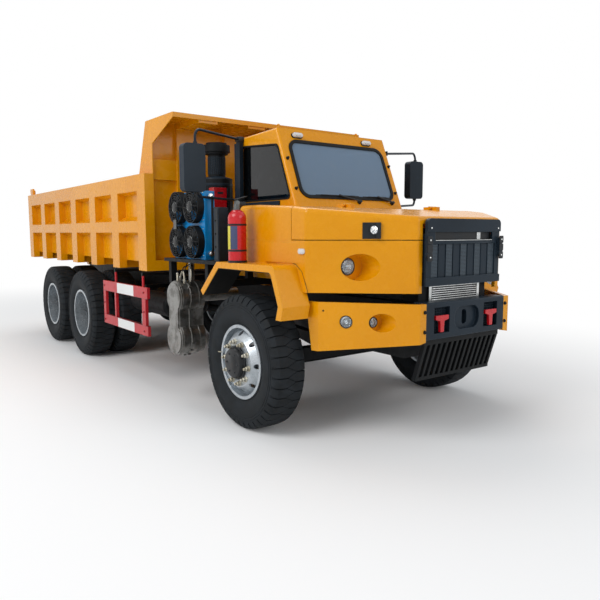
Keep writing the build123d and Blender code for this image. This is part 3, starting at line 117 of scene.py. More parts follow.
def new_material(name):
    """An empty material, its tree and the place on the object."""
    material = bpy.data.materials.new(name)
    material.use_nodes = True
    tree = material.node_tree
    tree.nodes.clear()
    return material, tree, add_node(tree, "TexCoord")["Object"]


def shaded(material, inputs):
    """The material with its shader, whose sockets hold values or nodes' outputs."""
    tree = material.node_tree
    surface = add_node(tree, "BsdfPrincipled", inputs)["BSDF"]
    add_node(tree, "OutputMaterial", {"Surface": surface})
    return material


def rounded_normal(tree, radius):
    """Normals that round a pressed edge, and how near an edge is."""
    soft = add_node(tree, "Bevel", {"Radius": radius}, {"samples": 6})["Normal"]
    hard = add_node(tree, "NewGeometry")["Normal"]
    likeness = add_node(tree, "VectorMath", (soft, hard), {"operation": "DOT_PRODUCT"})["Value"]
    return soft, add_node(tree, "MapRange", (likeness, 0.995, 0.86, 0.0, 1.0), SMOOTH)[0]


def patches(tree, place, size, low, high, detail=3.0):
    """Soft patches about this many metres across, from 0 to 1."""
    cloud = add_node(
        tree, "TexNoise", {"Vector": place, "Scale": 1 / size, "Detail": detail, "Roughness": 0.55})["Fac"]
    return add_node(tree, "MapRange", (cloud, low, high, 0.0, 1.0), SMOOTH)[0]


def pebbled(tree, place, size, detail, depth, strength, normal):
    """A surface raised in soft grains about this many metres across."""
    grain = add_node(
        tree, "TexNoise", {"Vector": place, "Scale": 1 / size, "Detail": detail, "Roughness": 0.55})["Fac"]
    return add_node(
        tree, "Bump", {"Height": grain, "Distance": depth, "Strength": strength, "Normal": normal})["Normal"]


def painted_edge_light(tree, body, near_edge, edge_light_share, edge):
    """A colour that passes into another at the edges: painted light along them."""
    share = add_node(tree, "MapRange", (near_edge, 0.0, 1.0, 0.0, edge_light_share), SMOOTH)[0]
    return add_node(tree, "Mix", {0: share, 6: body, 7: tone(edge)}, COLOURS)[2]


def crossed_bands(tree, place, spacing, distortion=0.0):
    """Bands across and up, this many metres apart, multiplied into a grid."""
    bands = [
        add_node(
            tree, "TexWave", {"Vector": place, "Scale": WAVE_SPAN / spacing, "Distortion": distortion},
            {"bands_direction": axis})["Fac"]
        for axis in ("X", "Z")]
    return add_node(tree, "Math", bands, {"operation": "MULTIPLY"})[0]


def sprayed_steel(name, colour, shade, edge, roughness, coat, edge_radius=0.006, gloss=0.5):
    """Sprayed steel sheet: even colour, a slow drift of tone, pressed edges painted paler as a highlight,
    orange peel.
    """
    material, tree, place = new_material(name)
    soft, near_edge = rounded_normal(tree, edge_radius)
    drift = patches(tree, place, 0.9, 0.35, 0.68)
    film = patches(tree, place, 0.07, 0.4, 0.75, 5.0)
    dust = add_node(tree, "MapRange", (film, 0.2, 1.0, 0.0, 0.07), SMOOTH)[0]
    body = add_node(tree, "Mix", {0: drift, 6: tone(colour), 7: tone(shade)}, COLOURS)[2]
    dusty = add_node(tree, "Mix", {0: dust, 6: body, 7: tone(edge)}, COLOURS)[2]
    return shaded(material, {
        "Base Color": painted_edge_light(tree, dusty, near_edge, 0.5, edge),
        "Roughness": add_node(
            tree, "MapRange", (film, 0.0, 1.0, roughness - 0.05, roughness + 0.08), SMOOTH)[0],
        "Normal": pebbled(tree, place, 0.012, 2.0, 0.0006, 0.05, soft),
        "Coat Weight": coat, "Coat Roughness": 0.12, "Specular IOR Level": gloss})


def bare_metal(name, colour, shade, roughness, grain=0.004, metallic=1.0, crumple=0.0):
    """Cast, turned or brushed metal: fine tone changes, edges painted in the paler colour as a highlight, and
    a dull, uneven shine.
    """
    material, tree, place = new_material(name)
    soft, near_edge = rounded_normal(tree, 0.003)
    speckle = patches(tree, place, grain, 0.35, 0.7, 6.0)
    drift = patches(tree, place, 0.08, 0.4, 0.65)
    base = add_node(tree, "Mix", {0: drift, 6: tone(colour), 7: tone(shade)}, COLOURS)[2]
    if crumple:
        soft = pebbled(tree, place, 0.05, 2.0, crumple, 0.6, soft)
    return shaded(material, {
        "Base Color": painted_edge_light(tree, base, near_edge, 0.35, colour),
        "Roughness": add_node(
            tree, "MapRange", (speckle, 0.0, 1.0, roughness - 0.08, roughness + 0.1), SMOOTH)[0],
        "Normal": add_node(
            tree, "Bump", {"Height": speckle, "Distance": 0.0004, "Strength": 0.3, "Normal": soft})["Normal"],
        "Metallic": metallic})


def moulded(name, colour, shade, roughness, grain, depth, gloss=0.5):
    """Moulded plastic or rubber: a fine pebbled skin, and painted light along its edges in the second colour,
    paler on the black ones.
    """
    material, tree, place = new_material(name)
    soft, near_edge = rounded_normal(tree, 0.0015)
    drift = patches(tree, place, 0.11, 0.38, 0.68, 4.0)
    base = add_node(tree, "Mix", {0: drift, 6: tone(colour), 7: tone(shade)}, COLOURS)[2]
    return shaded(material, {
        "Base Color": painted_edge_light(tree, base, near_edge, 0.3, shade),
        "Roughness": add_node(tree, "MapRange", (drift, 0.0, 1.0, roughness, roughness + 0.12), SMOOTH)[0],
        "Normal": pebbled(tree, place, grain, 3.0, depth, 0.5, soft),
        "Specular IOR Level": gloss})


def toughened_glass(name, colour, clearness, roughness=0.02, side_colour=""):
    """Toughened glass, faintly tinted, with a thin film of dust; its tint may differ past the pillars."""
    material, tree, place = new_material(name)
    film = patches(tree, place, 0.16, 0.45, 0.8, 4.0)
    dust = add_node(tree, "MapRange", (film, 0.0, 1.0, 0.0, 0.08), SMOOTH)[0]
    tint = tone(colour)
    if side_colour:
        x = add_node(tree, "SeparateXYZ", (place,))["X"]
        reach = add_node(tree, "Math", (x,), {"operation": "ABSOLUTE"})[0]
        outboard = add_node(tree, "MapRange", (reach, PILLAR_X - 0.02, PILLAR_X, 0.0, 1.0), SMOOTH)[0]
        tint = add_node(tree, "Mix", {0: outboard, 6: tint, 7: tone(side_colour)}, COLOURS)[2]
        clearness = add_node(tree, "MapRange", (outboard, 0.0, 1.0, clearness, 0.94), SMOOTH)[0]
    return shaded(material, {
        "Base Color": add_node(tree, "Mix", {0: dust, 6: tint, 7: tone("AEB8BE")}, COLOURS)[2],
        "Roughness": add_node(tree, "MapRange", (film, 0.0, 1.0, roughness, roughness + 0.1), SMOOTH)[0],
        "Transmission Weight": clearness, "IOR": 1.45, "Specular IOR Level": 0.12})


def woven_cloth(name, colour, shade, spacing):
    """Flat-woven seat cloth: soft, dull, its threads this many metres apart."""
    material, tree, place = new_material(name)
    weave = crossed_bands(tree, place, spacing, 0.4)
    return shaded(material, {
        "Base Color": add_node(tree, "Mix", {0: weave, 6: tone(colour), 7: tone(shade)}, COLOURS)[2],
        "Normal": add_node(tree, "Bump", {"Height": weave, "Distance": 0.0008, "Strength": 0.6})["Normal"],
        "Roughness": 0.88, "Sheen Weight": 0.25})


def faceted_silver(name, cell):
    """Vacuum-silvered facets, each painted paler or darker as a painted reflection of the light."""
    material, tree, place = new_material(name)
    cells = add_node(tree, "TexVoronoi", {"Vector": place, "Scale": 1 / cell})
    tint = add_node(tree, "SeparateColor", (cells["Color"],))[0]
    share = add_node(tree, "MapRange", (tint, 0.25, 0.75, 0.0, 1.0), SMOOTH)[0]
    return shaded(material, {
        "Base Color": add_node(tree, "Mix", {0: share, 6: tone("A4AAB0"), 7: tone("FBFCFD")}, COLOURS)[2],
        "Roughness": add_node(tree, "MapRange", (cells["Distance"], 0.0, 1.0, 0.08, 0.25), SMOOTH)[0],
        "Metallic": 1.0})


def pierced_steel(name, colour, hole, pitch):
    """Punched sheet: rows of round holes, paler where the core shines through."""
    material, tree, place = new_material(name)
    grid = crossed_bands(tree, place, pitch)
    holes = add_node(tree, "MapRange", (grid, 0.3, 0.48, 0.0, 1.0), SMOOTH)[0]
    return shaded(material, {
        "Base Color": add_node(tree, "Mix", {0: holes, 6: tone(colour), 7: tone(hole)}, COLOURS)[2],
        "Normal": add_node(tree, "Bump", {"Height": holes, "Distance": 0.002, "Strength": -0.5})["Normal"],
        "Roughness": 0.5, "Specular IOR Level": 0.3})


# Sprayed body paint: warm yellow, half gloss, with a painted highlight in paler yellow along pressed edges
paint = sprayed_steel("yellow_body_paint", "E29702", "DC9000", "EDB23C", 0.3, 0.18, gloss=0.2)
# Powder coat on the grille, bumper and frames: blue-black, satin
slate = sprayed_steel("slate_powder_coat", "1E2933", "17212A", "42505B", 0.46, 0.03, gloss=0.14)
# Chassis black: thin satin enamel under road dust
chassis_black = sprayed_steel("chassis_enamel", "0D0F11", "141618", "2E3030", 0.55, 0.0, gloss=0.15)
# Enamels on the extinguisher and boxes, the side guards and the cooler: bright, smooth, half gloss
red_enamel = sprayed_steel("red_enamel", "C80E1B", "B80B17", "E0505C", 0.3, 0.35, 0.003, gloss=0.3)
guard_red = sprayed_steel("guard_enamel", "BE1E28", "AA1821", "D4565A", 0.38, 0.15, gloss=0.3)
blue_enamel = sprayed_steel("cooler_enamel", "0689CE", "067CBD", "4AA6DA", 0.36, 0.15, gloss=0.3)
# Metals: silver wheel enamel, a mirror-like rod, dull iron, sheet crumpled by heat, a dull grey core
rim_silver = bare_metal("silver_wheel_enamel", "B9BFC4", "A4ABB0", 0.34, metallic=0.75)
hard_chrome = bare_metal("hard_chrome", "D4D7DA", "C6C9CC", 0.14)
cast_iron = bare_metal("cast_iron", "26282A", "1C1E20", 0.6, metallic=0.4)
muffler_steel = bare_metal("aluminised_steel", "92918E", "6A6864", 0.36, 0.008, 0.95, 0.0025)
core_aluminium = bare_metal("core_aluminium", "A9AEB1", "959A9D", 0.45)
# Plastics and rubbers: near black, dull, with a fine pebbled skin
black_plastic = moulded("moulded_black_plastic", "0F1215", "1C2126", 0.42, 0.0015, 0.0003, 0.3)
tyre_rubber = moulded("tyre_rubber", "121619", "22262A", 0.7, 0.006, 0.0006, 0.25)
seal_rubber = moulded("seal_rubber", "08090A", "101213", 0.55, 0.002, 0.0002, 0.2)
# Seat cloth: dark grey, its threads drawn 1.3 mm apart
seat_cloth = woven_cloth("seat_cloth", "24262A", "35383D", 0.001256)
# Glass: blue-grey in the screen and darker at the sides, and nearly clear over the lamps
window_glass = toughened_glass("window_glass", "86A2BE", 0.45, side_colour="30373D")
lamp_glass = toughened_glass("lamp_glass", "E8EDF0", 0.9)
# Nuts and fittings: zinc plate, slightly warm; mirrors: bright silvering behind glass
nut_zinc = bare_metal("warm_zinc_plate", "C6C1B2", "A9A18C", 0.4, metallic=0.75)
bright_zinc = bare_metal("bright_zinc_plate", "D2D4D3", "BFC2C2", 0.28)
gunmetal = bare_metal("gunmetal", "6A6C6B", "4E504F", 0.36)
silvered_glass = bare_metal("silvered_glass", "C9D2D8", "C2CBD2", 0.04)
# Hub and fan parts: black enamel with a soft gloss
chassis_gloss = sprayed_steel("hub_enamel", "0A0D11", "101418", "343C44", 0.34, 0.1, 0.003, gloss=0.3)
black_gloss = sprayed_steel("fan_enamel", "08090B", "0E1012", "2A2E32", 0.34, 0.1, 0.002, gloss=0.3)
# Small painted parts: inlet slats in a dark brown that paints the shade inside the inlets, and the pale bands
# and dark edges of the side guards
inlet_shade_brown = sprayed_steel("inlet_shade_brown", "4E2F10", "40260C", "7A4E20", 0.5, 0.0, 0.001, gloss=0.2)
pale_enamel = sprayed_steel("pale_enamel", "E9EAE8", "DEDFDD", "F4F4F2", 0.36, 0.2, 0.001)
dark_red = sprayed_steel("dark_red_enamel", "7E1016", "6C0D12", "A8343A", 0.42, 0.2, 0.002)
# Heat sleeve on the sensor lines: cream, dull, coarse
pale_sleeve = moulded("pale_sleeve", "CFC7B4", "B9B09A", 0.55, 0.004, 0.0006)
# Lamp plastics: clear with a pearly moulded body, and deep red
clear_plastic = toughened_glass("clear_lamp_plastic", "F2F4F5", 0.25, 0.1)
red_lens = toughened_glass("red_lamp_plastic", "A00C12", 0.2, 0.08)
# Printed film on the extinguisher: plain fields with no lettering
label_yellow = moulded("plain_yellow_film", "D8C93A", "CDBD30", 0.35, 0.01, 0.0001)
label_blue = moulded("plain_blue_film", "3B4468", "353D5E", 0.35, 0.01, 0.0001)
# Lamp bowls: facets about 7 mm wide, each with its own painted reflection; grille strips: 5 mm holes drawn 10
# mm apart so that they show
lamp_silver = faceted_silver("lamp_silvering", 0.007)
pierced_slate = pierced_steel("pierced_slate_sheet", "19232B", "54636F", 0.01)

# The finish of each CAD node, by its slot or by its name
finishes = {
    "yellow_paint": paint, "black_paint": chassis_black, "red_paint": red_enamel, "guard_red": guard_red,
    "blue_paint": blue_enamel, "bare_steel": rim_silver, "chromed_rod": hard_chrome,
    "engine_iron": cast_iron, "muffler_steel": muffler_steel, "radiator_aluminium": core_aluminium,
    "black_plastic": black_plastic, "seat_fabric": seat_cloth, "lamp_lens": lamp_glass,
    "tyre_rubber": tyre_rubber, "tinted_glass": window_glass,
}
node_finishes = dict.fromkeys(("grille", "bumper_centre", "side_frames", "mirrors", "control_box"), slate)
node_finishes["radiator"] = chassis_black
for part in frame["record"]["subparts"]:
    data = frame["nodes"][part["node"]].data
    data.materials.clear()
    data.materials.append(node_finishes.get(part["node"], finishes[part["material_slot"]]))


def add_object(name, data):
    """An object in the scene, unturned at the origin."""
    made = bpy.data.objects.new(name, data)
    bpy.context.scene.collection.objects.link(made)
    return made


def fitted(name, data, finish, body, replaced=()):
    """An object made from mesh or curve data, with its finish, riding on its body."""
    data.materials.append(finish)
    piece = add_object(name, data)
    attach(piece, body)
    if replaced:
        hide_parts(*replaced)
    return piece


def keep(mesh, name, finish, body="chassis", replaced=(), crease=34.0):
    """Clean a mesh, give it its finish and let it ride on its body."""
    bmesh.ops.remove_doubles(mesh, verts=mesh.verts, dist=0.00002)
    bmesh.ops.recalc_face_normals(mesh, faces=mesh.faces)
    data = bpy.data.meshes.new(name)
    mesh.to_mesh(data)
    mesh.free()
    data.shade_smooth()
    data.set_sharp_from_angle(angle=radians(crease))
    return fitted(name, data, finish, body, replaced)


def axes(origin, first, second, third):
    """A place on the truck, by its origin and its three directions."""
    turn = Matrix((first, second, third)).transposed().to_4x4()
    return Matrix.Translation(origin) @ turn


def facing(origin, direction):
    """A place whose first axis looks along a direction."""
    ahead = Vector(direction).normalized()
    across = UP if abs(ahead.z) < 0.9 else BACK
    up = (across - ahead * ahead.dot(across)).normalized()
    return axes(origin, ahead, up, ahead.cross(up))


def proud_of(panel, along, up, out=0.0):
    """A place on a panel that looks out of it."""
    return facing(panel @ Vector((along, up, out)), panel.col[2].to_3d())


def sweep(side, start, end):
    """The place of a swept nose or bumper panel: along it outboard, up, and out of it."""
    along = Vector((side * (end[0] - start[0]), end[1] - start[1], 0)).normalized()
    out = Vector((side * (end[1] - start[1]), -(end[0] - start[0]), 0)).normalized()
    return axes((side * start[0], aft(start[1]), 0), along, UP, out)


def slab(mesh, low, high, rounding=0.0, segments=2, place=AXLE_FRAME):
    """A block between two corners, its edges rounded; Y counts from the front axle unless it has a place."""
    made = bmesh.ops.create_cube(mesh, size=1.0)["verts"]
    bmesh.ops.scale(mesh, vec=[abs(b - a) for a, b in zip(low, high)], verts=made)
    bmesh.ops.translate(mesh, vec=[(a + b) / 2 for a, b in zip(low, high)], verts=made)
    bmesh.ops.transform(mesh, matrix=place, verts=made)
    if rounding:
        edges = list({edge for vert in made for edge in vert.link_edges})
        bmesh.ops.bevel(
            mesh, geom=edges, offset=rounding, offset_type="OFFSET", segments=segments, profile=0.5,
            affect="EDGES", material=-1, clamp_overlap=True)


def turned(mesh, profile, place, steps=32, closed=False, angle=2 * pi):
    """A turned shape: its half section, as (along, radius), spun about the place's first axis."""
    verts = [mesh.verts.new(place @ Vector((along, radius, 0))) for along, radius in profile]
    pairs = list(zip(verts, verts[1:])) + ([(verts[-1], verts[0])] if closed else [])
    edges = [mesh.edges.new(pair) for pair in pairs]
    bmesh.ops.spin(
        mesh, geom=verts + edges, cent=place.translation, axis=place.col[0].to_3d(), angle=angle, steps=steps,
        use_merge=angle == 2 * pi, use_duplicate=False)


def ring(mesh, inner, outer, half, place, steps):
    """A flat band about the place's first axis, reaching half its width each way."""
    turned(mesh, ((-half, inner), (-half, outer), (half, outer), (half, inner)), place, steps, closed=True)


def bolts(mesh, places, radius, height):
    """Bolt heads with a chamfered top, one at each place, standing along its first axis."""
    for place in places:
        flange = radius * 1.25
        turned(
            mesh, ((-0.001, 0), (-0.001, flange), (height * 0.2, flange), (height * 0.2, radius),
                   (height * 0.85, radius), (height, radius * 0.8), (height, 0)), place, 6)


def oblong(half_width, half_height, middle=0.0):
    """The corners of a rectangle about a middle height."""
    low, high = middle - half_height, middle + half_height
    return ((-half_width, low), (half_width, low), (half_width, high), (-half_width, high))


def rounded_plate(mesh, corners, rounding, thickness, place, frame_width=0.0, segments=6):
    """A plate with rounded corners lying on its place, or only its rim where frame_width is given."""
    before = set(mesh.verts)
    verts = [mesh.verts.new((x, y, 0.0)) for x, y in corners]
    mesh.faces.new(verts)
    bmesh.ops.bevel(
        mesh, geom=verts, offset=rounding, segments=segments, profile=0.5, affect="VERTICES", material=-1)
    made = [face for face in mesh.faces if not set(face.verts) & before]
    face = max(made, key=lambda face: len(face.verts))
    faces = [face]
    if frame_width:
        faces = bmesh.ops.inset_individual(
            mesh, faces=[face], thickness=frame_width, use_even_offset=True)["faces"]
        bmesh.ops.delete(mesh, geom=[face], context="FACES_ONLY")
    grown = bmesh.ops.extrude_face_region(mesh, geom=faces, use_keep_orig=True)["geom"]
    tops = [item for item in grown if isinstance(item, bmesh.types.BMVert)]
    bmesh.ops.translate(mesh, vec=(0, 0, thickness), verts=tops)
    bmesh.ops.transform(mesh, matrix=place, verts=[vert for vert in mesh.verts if vert not in before])


def pipes(name, routes, radius, finish, body="chassis", looped=False, smooth=True, sides=3):
    """Round rods or pipes along routes whose Y counts from the front axle, one curve for them all."""
    data = bpy.data.curves.new(name, "CURVE")
    data.dimensions = "3D"
    data.bevel_depth = radius
    data.bevel_resolution = sides
    data.resolution_u = 6
    data.use_fill_caps = True
    for route in routes:
        line = data.splines.new("NURBS" if smooth else "POLY")
        line.points.add(len(route) - 1)
        for point, (x, distance, z) in zip(line.points, route):
            point.co = (x, aft(distance), z, 1.0)
        line.use_cyclic_u = looped
        if smooth:
            line.order_u = 3
            line.use_endpoint_u = not looped
    return fitted(name, data, finish, body)


# Tyres: a carcass with sidewall rings, and shoulder and centre blocks
BLOCK_PITCHES = 42
TREAD_DEPTH = 0.015
CARCASS_STEPS = 84
CARCASS_HALF = [
    (0.1127, 0.2865), (0.1127, 0.308), (0.124, 0.324), (0.1375, 0.352), (0.144, 0.383), (0.1465, 0.415),
    (0.146, 0.437), (0.1478, 0.4385), (0.1478, 0.4425), (0.1448, 0.444), (0.1442, 0.456), (0.1474, 0.458),
    (0.147, 0.463), (0.143, 0.465), (0.142, 0.475), (0.1448, 0.477), (0.1438, 0.4815), (0.139, 0.484),
    (0.129, 0.501), (0.108, 0.52)]
CARCASS = CARCASS_HALF + [(0.0, 0.5275)] + [(-along, radius) for along, radius in reversed(CARCASS_HALF)]


def tread_block(mesh, rows, hub):
    """A tread block grown down to the carcass from rows of (x, radius, middle turn, half turn)."""
    def at(x, radius, turn):
        return (hub.x + x, hub.y + radius * sin(turn), hub.z + radius * cos(turn))

    pairs = [
        (mesh.verts.new(at(x, radius, middle - half)), mesh.verts.new(at(x, radius, middle + half)))
        for x, radius, middle, half in rows]
    faces = [
        mesh.faces.new((near[0], near[1], far[1], far[0])) for near, far in zip(pairs, pairs[1:])]
    grown = bmesh.ops.extrude_face_region(mesh, geom=faces)["geom"]
    roots = [item for item in grown if isinstance(item, bmesh.types.BMVert)]
    shrink = (TYRE_RADIUS - TREAD_DEPTH) / TYRE_RADIUS
    bmesh.ops.scale(mesh, vec=(1.0, shrink, shrink), verts=roots, space=Matrix.Translation(-hub))


def add_tyre(mesh, centre_x, distance):
    """One tyre, with a shoulder block on each side in every pitch of its tread."""
    hub = Vector((centre_x, aft(distance), WHEEL_Z))
    turned(mesh, CARCASS, axes(hub, ACROSS, BACK, UP), CARCASS_STEPS, closed=True)
    pitch = 2 * pi / BLOCK_PITCHES
    before = set(mesh.verts)
    for side, middle in ((1, 0.0), (-1, 0.5 * pitch)):
        tread_block(mesh, [(side * x, radius, middle, share * pitch) for x, radius, share in (
            (-0.036, 0.5424, 0.02), (0.04, 0.542, 0.455), (0.08, 0.5408, 0.445), (0.11, 0.5375, 0.44),
            (0.13, 0.5205, 0.43), (0.143, 0.49, 0.36))], hub)
    made = [vert for vert in mesh.verts if vert not in before]
    edges = {edge for vert in made for edge in vert.link_edges}
    faces = {face for vert in made for face in vert.link_faces}
    bmesh.ops.spin(
        mesh, geom=made + list(edges) + list(faces), cent=hub, axis=ACROSS,
        angle=2 * pi * (BLOCK_PITCHES - 1) / BLOCK_PITCHES, steps=BLOCK_PITCHES - 1, use_duplicate=True)


# Wheels: ten nuts on their circle, and the profiles and bolts of the hub caps
NUTS = 10
NUT_CIRCLE = 0.167
NUT = ((-0.002, 0), (-0.002, 0.024), (0.005, 0.024), (0.006, 0.0185), (0.026, 0.0175), (0.03, 0.012),
       (0.046, 0.011), (0.048, 0.008), (0.048, 0))
FRONT_CAP = ((0.147, 0.1345), (0.153, 0.137), (0.16, 0.136), (0.164, 0.127), (0.184, 0.122), (0.196, 0.113),
             (0.2005, 0.098), (0.2005, 0.066), (0.203, 0.062), (0.203, 0.0))
REAR_CAP = ((0.063, 0.132), (0.07, 0.134), (0.148, 0.1225), (0.156, 0.127), (0.164, 0.127),
            (0.169, 0.116), (0.185, 0.111), (0.1925, 0.095), (0.1925, 0.0))
# along, circle's radius, number, first one's place, head's radius and height
FRONT_CAP_BOLTS = ((0.16, 0.127, 10, 0.0, 0.0075, 0.008), (0.2, 0.08, 6, 0.5, 0.007, 0.006))
REAR_CAP_BOLTS = ((0.167, 0.118, 12, 0.0, 0.007, 0.007),)


def wheel_set(name, centres, distance, body, nuts_x):
    """Tyres, nuts and valve of one wheel end; its nuts stand this far from the truck's middle."""
    side = 1 if centres[0] > 0 else -1
    rubber = bmesh.new()
    for centre_x in centres:
        add_tyre(rubber, centre_x, distance)
    node = ("tyres_" if len(centres) > 1 else "tyre_") + name
    keep(rubber, f"treaded_{node}", tyre_rubber, body, (node,), 30.0)
    nuts = bmesh.new()
    for number in range(NUTS):
        turn = 2 * pi * (number + 0.3) / NUTS
        where = (side * nuts_x, aft(distance) + NUT_CIRCLE * sin(turn), WHEEL_Z + NUT_CIRCLE * cos(turn))
        turned(nuts, NUT, facing(where, side * ACROSS), 10)
    keep(nuts, f"wheel_nuts_{name}", nut_zinc, body)
    valve = [
        (side * (nuts_x + out), distance + behind, WHEEL_Z + up)
        for out, behind, up in ((0.004, 0.232, 0.05), (0.02, 0.236, 0.05), (0.032, 0.25, 0.052))]
    pipes(f"valve_{name}", [valve], 0.004, nut_zinc, body)


def hub_cap(name, body, x, distance, profile, steps, circles):
    """A turned hub cap with its circles of bolts."""
    cap = bmesh.new()
    outboard = ACROSS if x > 0 else -ACROSS
    place = facing((x, aft(distance), WHEEL_Z), outboard)
    turned(cap, profile, place, steps)
    for along, radius, count, first, head, height in circles:
        for number in range(count):
            turn = 2 * pi * (number + first) / count
            spot = place @ Vector((along, radius * cos(turn), radius * sin(turn)))
            bolts(cap, [facing(spot, outboard)], head, height)
    keep(cap, name, chassis_gloss, body)


for name, side in SIDES:
    body = f"wheel_front_{name}"
    wheel_set(f"front_{name}", (side * FRONT_WHEEL_X,), 0.0, body, FRONT_NUTS_X)
    hub_cap(f"hub_cap_{name}", body, side * FRONT_WHEEL_X, 0.0, FRONT_CAP, 48, FRONT_CAP_BOLTS)
    for axle, distance in REAR_AXLES:
        body = f"wheels_{axle}_{name}"
        wheel_set(f"{axle}_{name}", [side * x for x in REAR_WHEELS_X], distance, body, REAR_NUTS_X)
        hub_cap(f"hub_cover_{axle}_{name}", body, side * REAR_DISC_X, distance, REAR_CAP, 40, REAR_CAP_BOLTS)

# Front lamps: faceted reflectors behind clear lenses in dark bezels
lamp_places = []
for side in (-1, 1):
    lamp_places += [
        (facing((side * 0.795, aft(-0.828), 1.327), -BACK), 0.0575),
        (facing((side * 0.693, aft(-0.988), 0.9345), -BACK), 0.0335),
        (proud_of(sweep(side, *BUMPER_SWEEP), 0.523, 0.934, -0.004), 0.0415)]
reflectors, lenses, bezels = bmesh.new(), bmesh.new(), bmesh.new()
bowl = ((-0.02, 0.16), (-0.019, 0.3), (-0.013, 0.6), (-0.004, 0.85), (0.004, 0.97))
dome = ((0.005, 0.985), (0.0085, 0.9), (0.0115, 0.6), (0.013, 0.3))
for place, radius in lamp_places:
    turned(reflectors, [(-0.0205, 0)] + [(along, radius * share) for along, share in bowl], place, 16)
    turned(
        reflectors, ((-0.02, radius * 0.14), (-0.006, radius * 0.14), (-0.003, radius * 0.1), (-0.002, 0)),
        place, 12)
    outer = [(along, radius * share) for along, share in dome] + [(0.0134, 0)]
    inner = [(0.0112, 0)] + [(along - 0.0022, radius * share * 0.98) for along, share in reversed(dome)]
    turned(lenses, outer + inner, place)
    turned(
        bezels, ((-0.012, radius), (0.006, radius), (0.0095, radius + 0.0015), (0.0095, radius + 0.0035),
                 (0.005, radius + 0.005), (-0.012, radius + 0.005)), place, 40, closed=True)
keep(reflectors, "lamp_reflectors", lamp_silver, replaced=("front_lamps",), crease=8.0)
keep(lenses, "lamp_lenses", lamp_glass)
keep(bezels, "lamp_bezels", black_plastic)

# Bonnet: work lamps on folded plates
plates, eyes = bmesh.new(), bmesh.new()
for side in (-1, 1):
    panel = sweep(side, *NOSE_SWEEP)
    slab(plates, (0.258, 1.525, 0.0), (0.388, 1.64, 0.004), 0.0015, 1, panel)
    slab(plates, (0.258, 1.525, 0.004), (0.292, 1.64, 0.024), 0.004, 2, panel)
    bolts(plates, [proud_of(panel, 0.345, 1.533, 0.004)], 0.004, 0.004)
    aim = panel.col[2].to_3d() - 0.35 * panel.col[0].to_3d()
    eye = facing(panel @ Vector((0.311, 1.588, 0.012)), aim)
    turned(eyes, ((0, 0), (0, 0.026), (0.01, 0.03), (0.018, 0.029), (0.024, 0.02), (0.026, 0)), eye, 28)
    turned(
        plates, ((-0.004, 0.027), (0.012, 0.0335), (0.019, 0.0335), (0.019, 0.03), (0.004, 0.0265)), eye, 28,
        closed=True)
keep(plates, "work_lamp_plates", black_plastic, "bonnet")
keep(eyes, "work_lamps", lamp_silver, "bonnet", crease=30.0)

# Side marker lamps at the wings' corners
markers = bmesh.new()
for side in (-1, 1):
    place = axes((side * 1.04, aft(-0.61), 1.436), BACK, UP, side * ACROSS)
    rounded_plate(markers, oblong(0.034, 0.02), 0.018, 0.012, place)
    rounded_plate(markers, oblong(0.026, 0.012), 0.011, 0.017, place)
keep(markers, "side_markers", clear_plastic)

# Grille: pierced strips and ribs in turn, lips, latch pads and bolts, and the radiator strips below
ribs, latches, pierced = bmesh.new(), bmesh.new(), bmesh.new()
grille_bolts, fins = bmesh.new(), bmesh.new()
STRIPS = 9
STRIP = 0.732 / STRIPS
for number in range(STRIPS):
    start = (number - STRIPS / 2) * STRIP
    sheet = ribs if number % 2 else pierced
    slab(sheet, (start + 0.006, -1.2222, 1.25), (start + STRIP - 0.006, -1.2201, 1.487), 0.0008, 1)
    if number:
        slab(ribs, (start - 0.002, -1.227, 1.25), (start + 0.002, -1.2195, 1.487), 0.001, 1)
for low, high in ((1.488, 1.5), (1.24, 1.25)):
    slab(ribs, (-0.372, -1.2365, low), (0.372, -1.231, high), 0.002, 2)
for side in (-1, 1):
    for height in (1.395, 1.455, 1.515):
        place = axes((side * 0.4115, aft(-1.254), height), ACROSS, UP, -BACK)
        rounded_plate(latches, oblong(0.024, 0.028), 0.01, 0.006, place)
    for height, x in ((1.395, 0.411), (1.515, 0.411), (1.6, 0.385)):
        turned(
            grille_bolts, ((-0.001, 0), (-0.001, 0.007), (0.004, 0.0065), (0.006, 0.004), (0.007, 0)),
            facing((side * x, aft(-1.26 if height < 1.55 else -1.244), height), -BACK), 14)
slab(latches, (-0.332, -1.206, 1.5), (0.332, -1.203, 1.59), 0.001, 1)
slab(grille_bolts, (-0.325, -1.234, 1.511), (0.325, -1.2316, 1.5155), 0.0008, 1)
slab(grille_bolts, (0.17, -1.21, 1.516), (0.212, -1.2065, 1.571), 0.001, 1)
slab(latches, (-0.262, -1.149, 1.03), (0.262, -1.1482, 1.24), 0.0002, 1)
for number in range(11):
    z = 1.04 + number * 0.0165
    slab(fins, (-0.258, -1.153, z), (0.258, -1.1488, z + 0.009), 0.002, 2)
for side in (-1, 1):
    slab(fins, (side * 0.263, -1.153, 1.03), (side * 0.291, -1.1488, 1.24), 0.001, 1)
keep(fins, "radiator_strips", bright_zinc)
keep(latches, "grille_latches", black_plastic)
keep(pierced, "grille_pierced_strips", pierced_slate)
keep(ribs, "grille_ribs", slate)
keep(grille_bolts, "grille_bolts", bright_zinc)

# Bumper: mesh behind the hooks, and the bolts that hold its corners
mesh_bars = []
for side in (-1, 1):
    for number in range(9):
        x = side * (0.206 + number * 0.0193)
        mesh_bars.append([(x, -1.229, 0.855), (x, -1.229, 1.039)])
    for number in range(10):
        z = 0.862 + number * 0.019
        mesh_bars.append([(side * 0.199, -1.231, z), (side * 0.367, -1.231, z)])
pipes("hook_mesh", mesh_bars, 0.003, slate, smooth=False, sides=1)
heads = bmesh.new()
for side in (-1, 1):
    bolts(heads, [facing((side * 0.466, aft(-1.27), z), -BACK) for z in (0.875, 1.015)], 0.012, 0.012)
    bolts(heads, [proud_of(sweep(side, *BUMPER_SWEEP), 0.69, 1.01)], 0.006, 0.004)
keep(heads, "bumper_bolts", chassis_black)
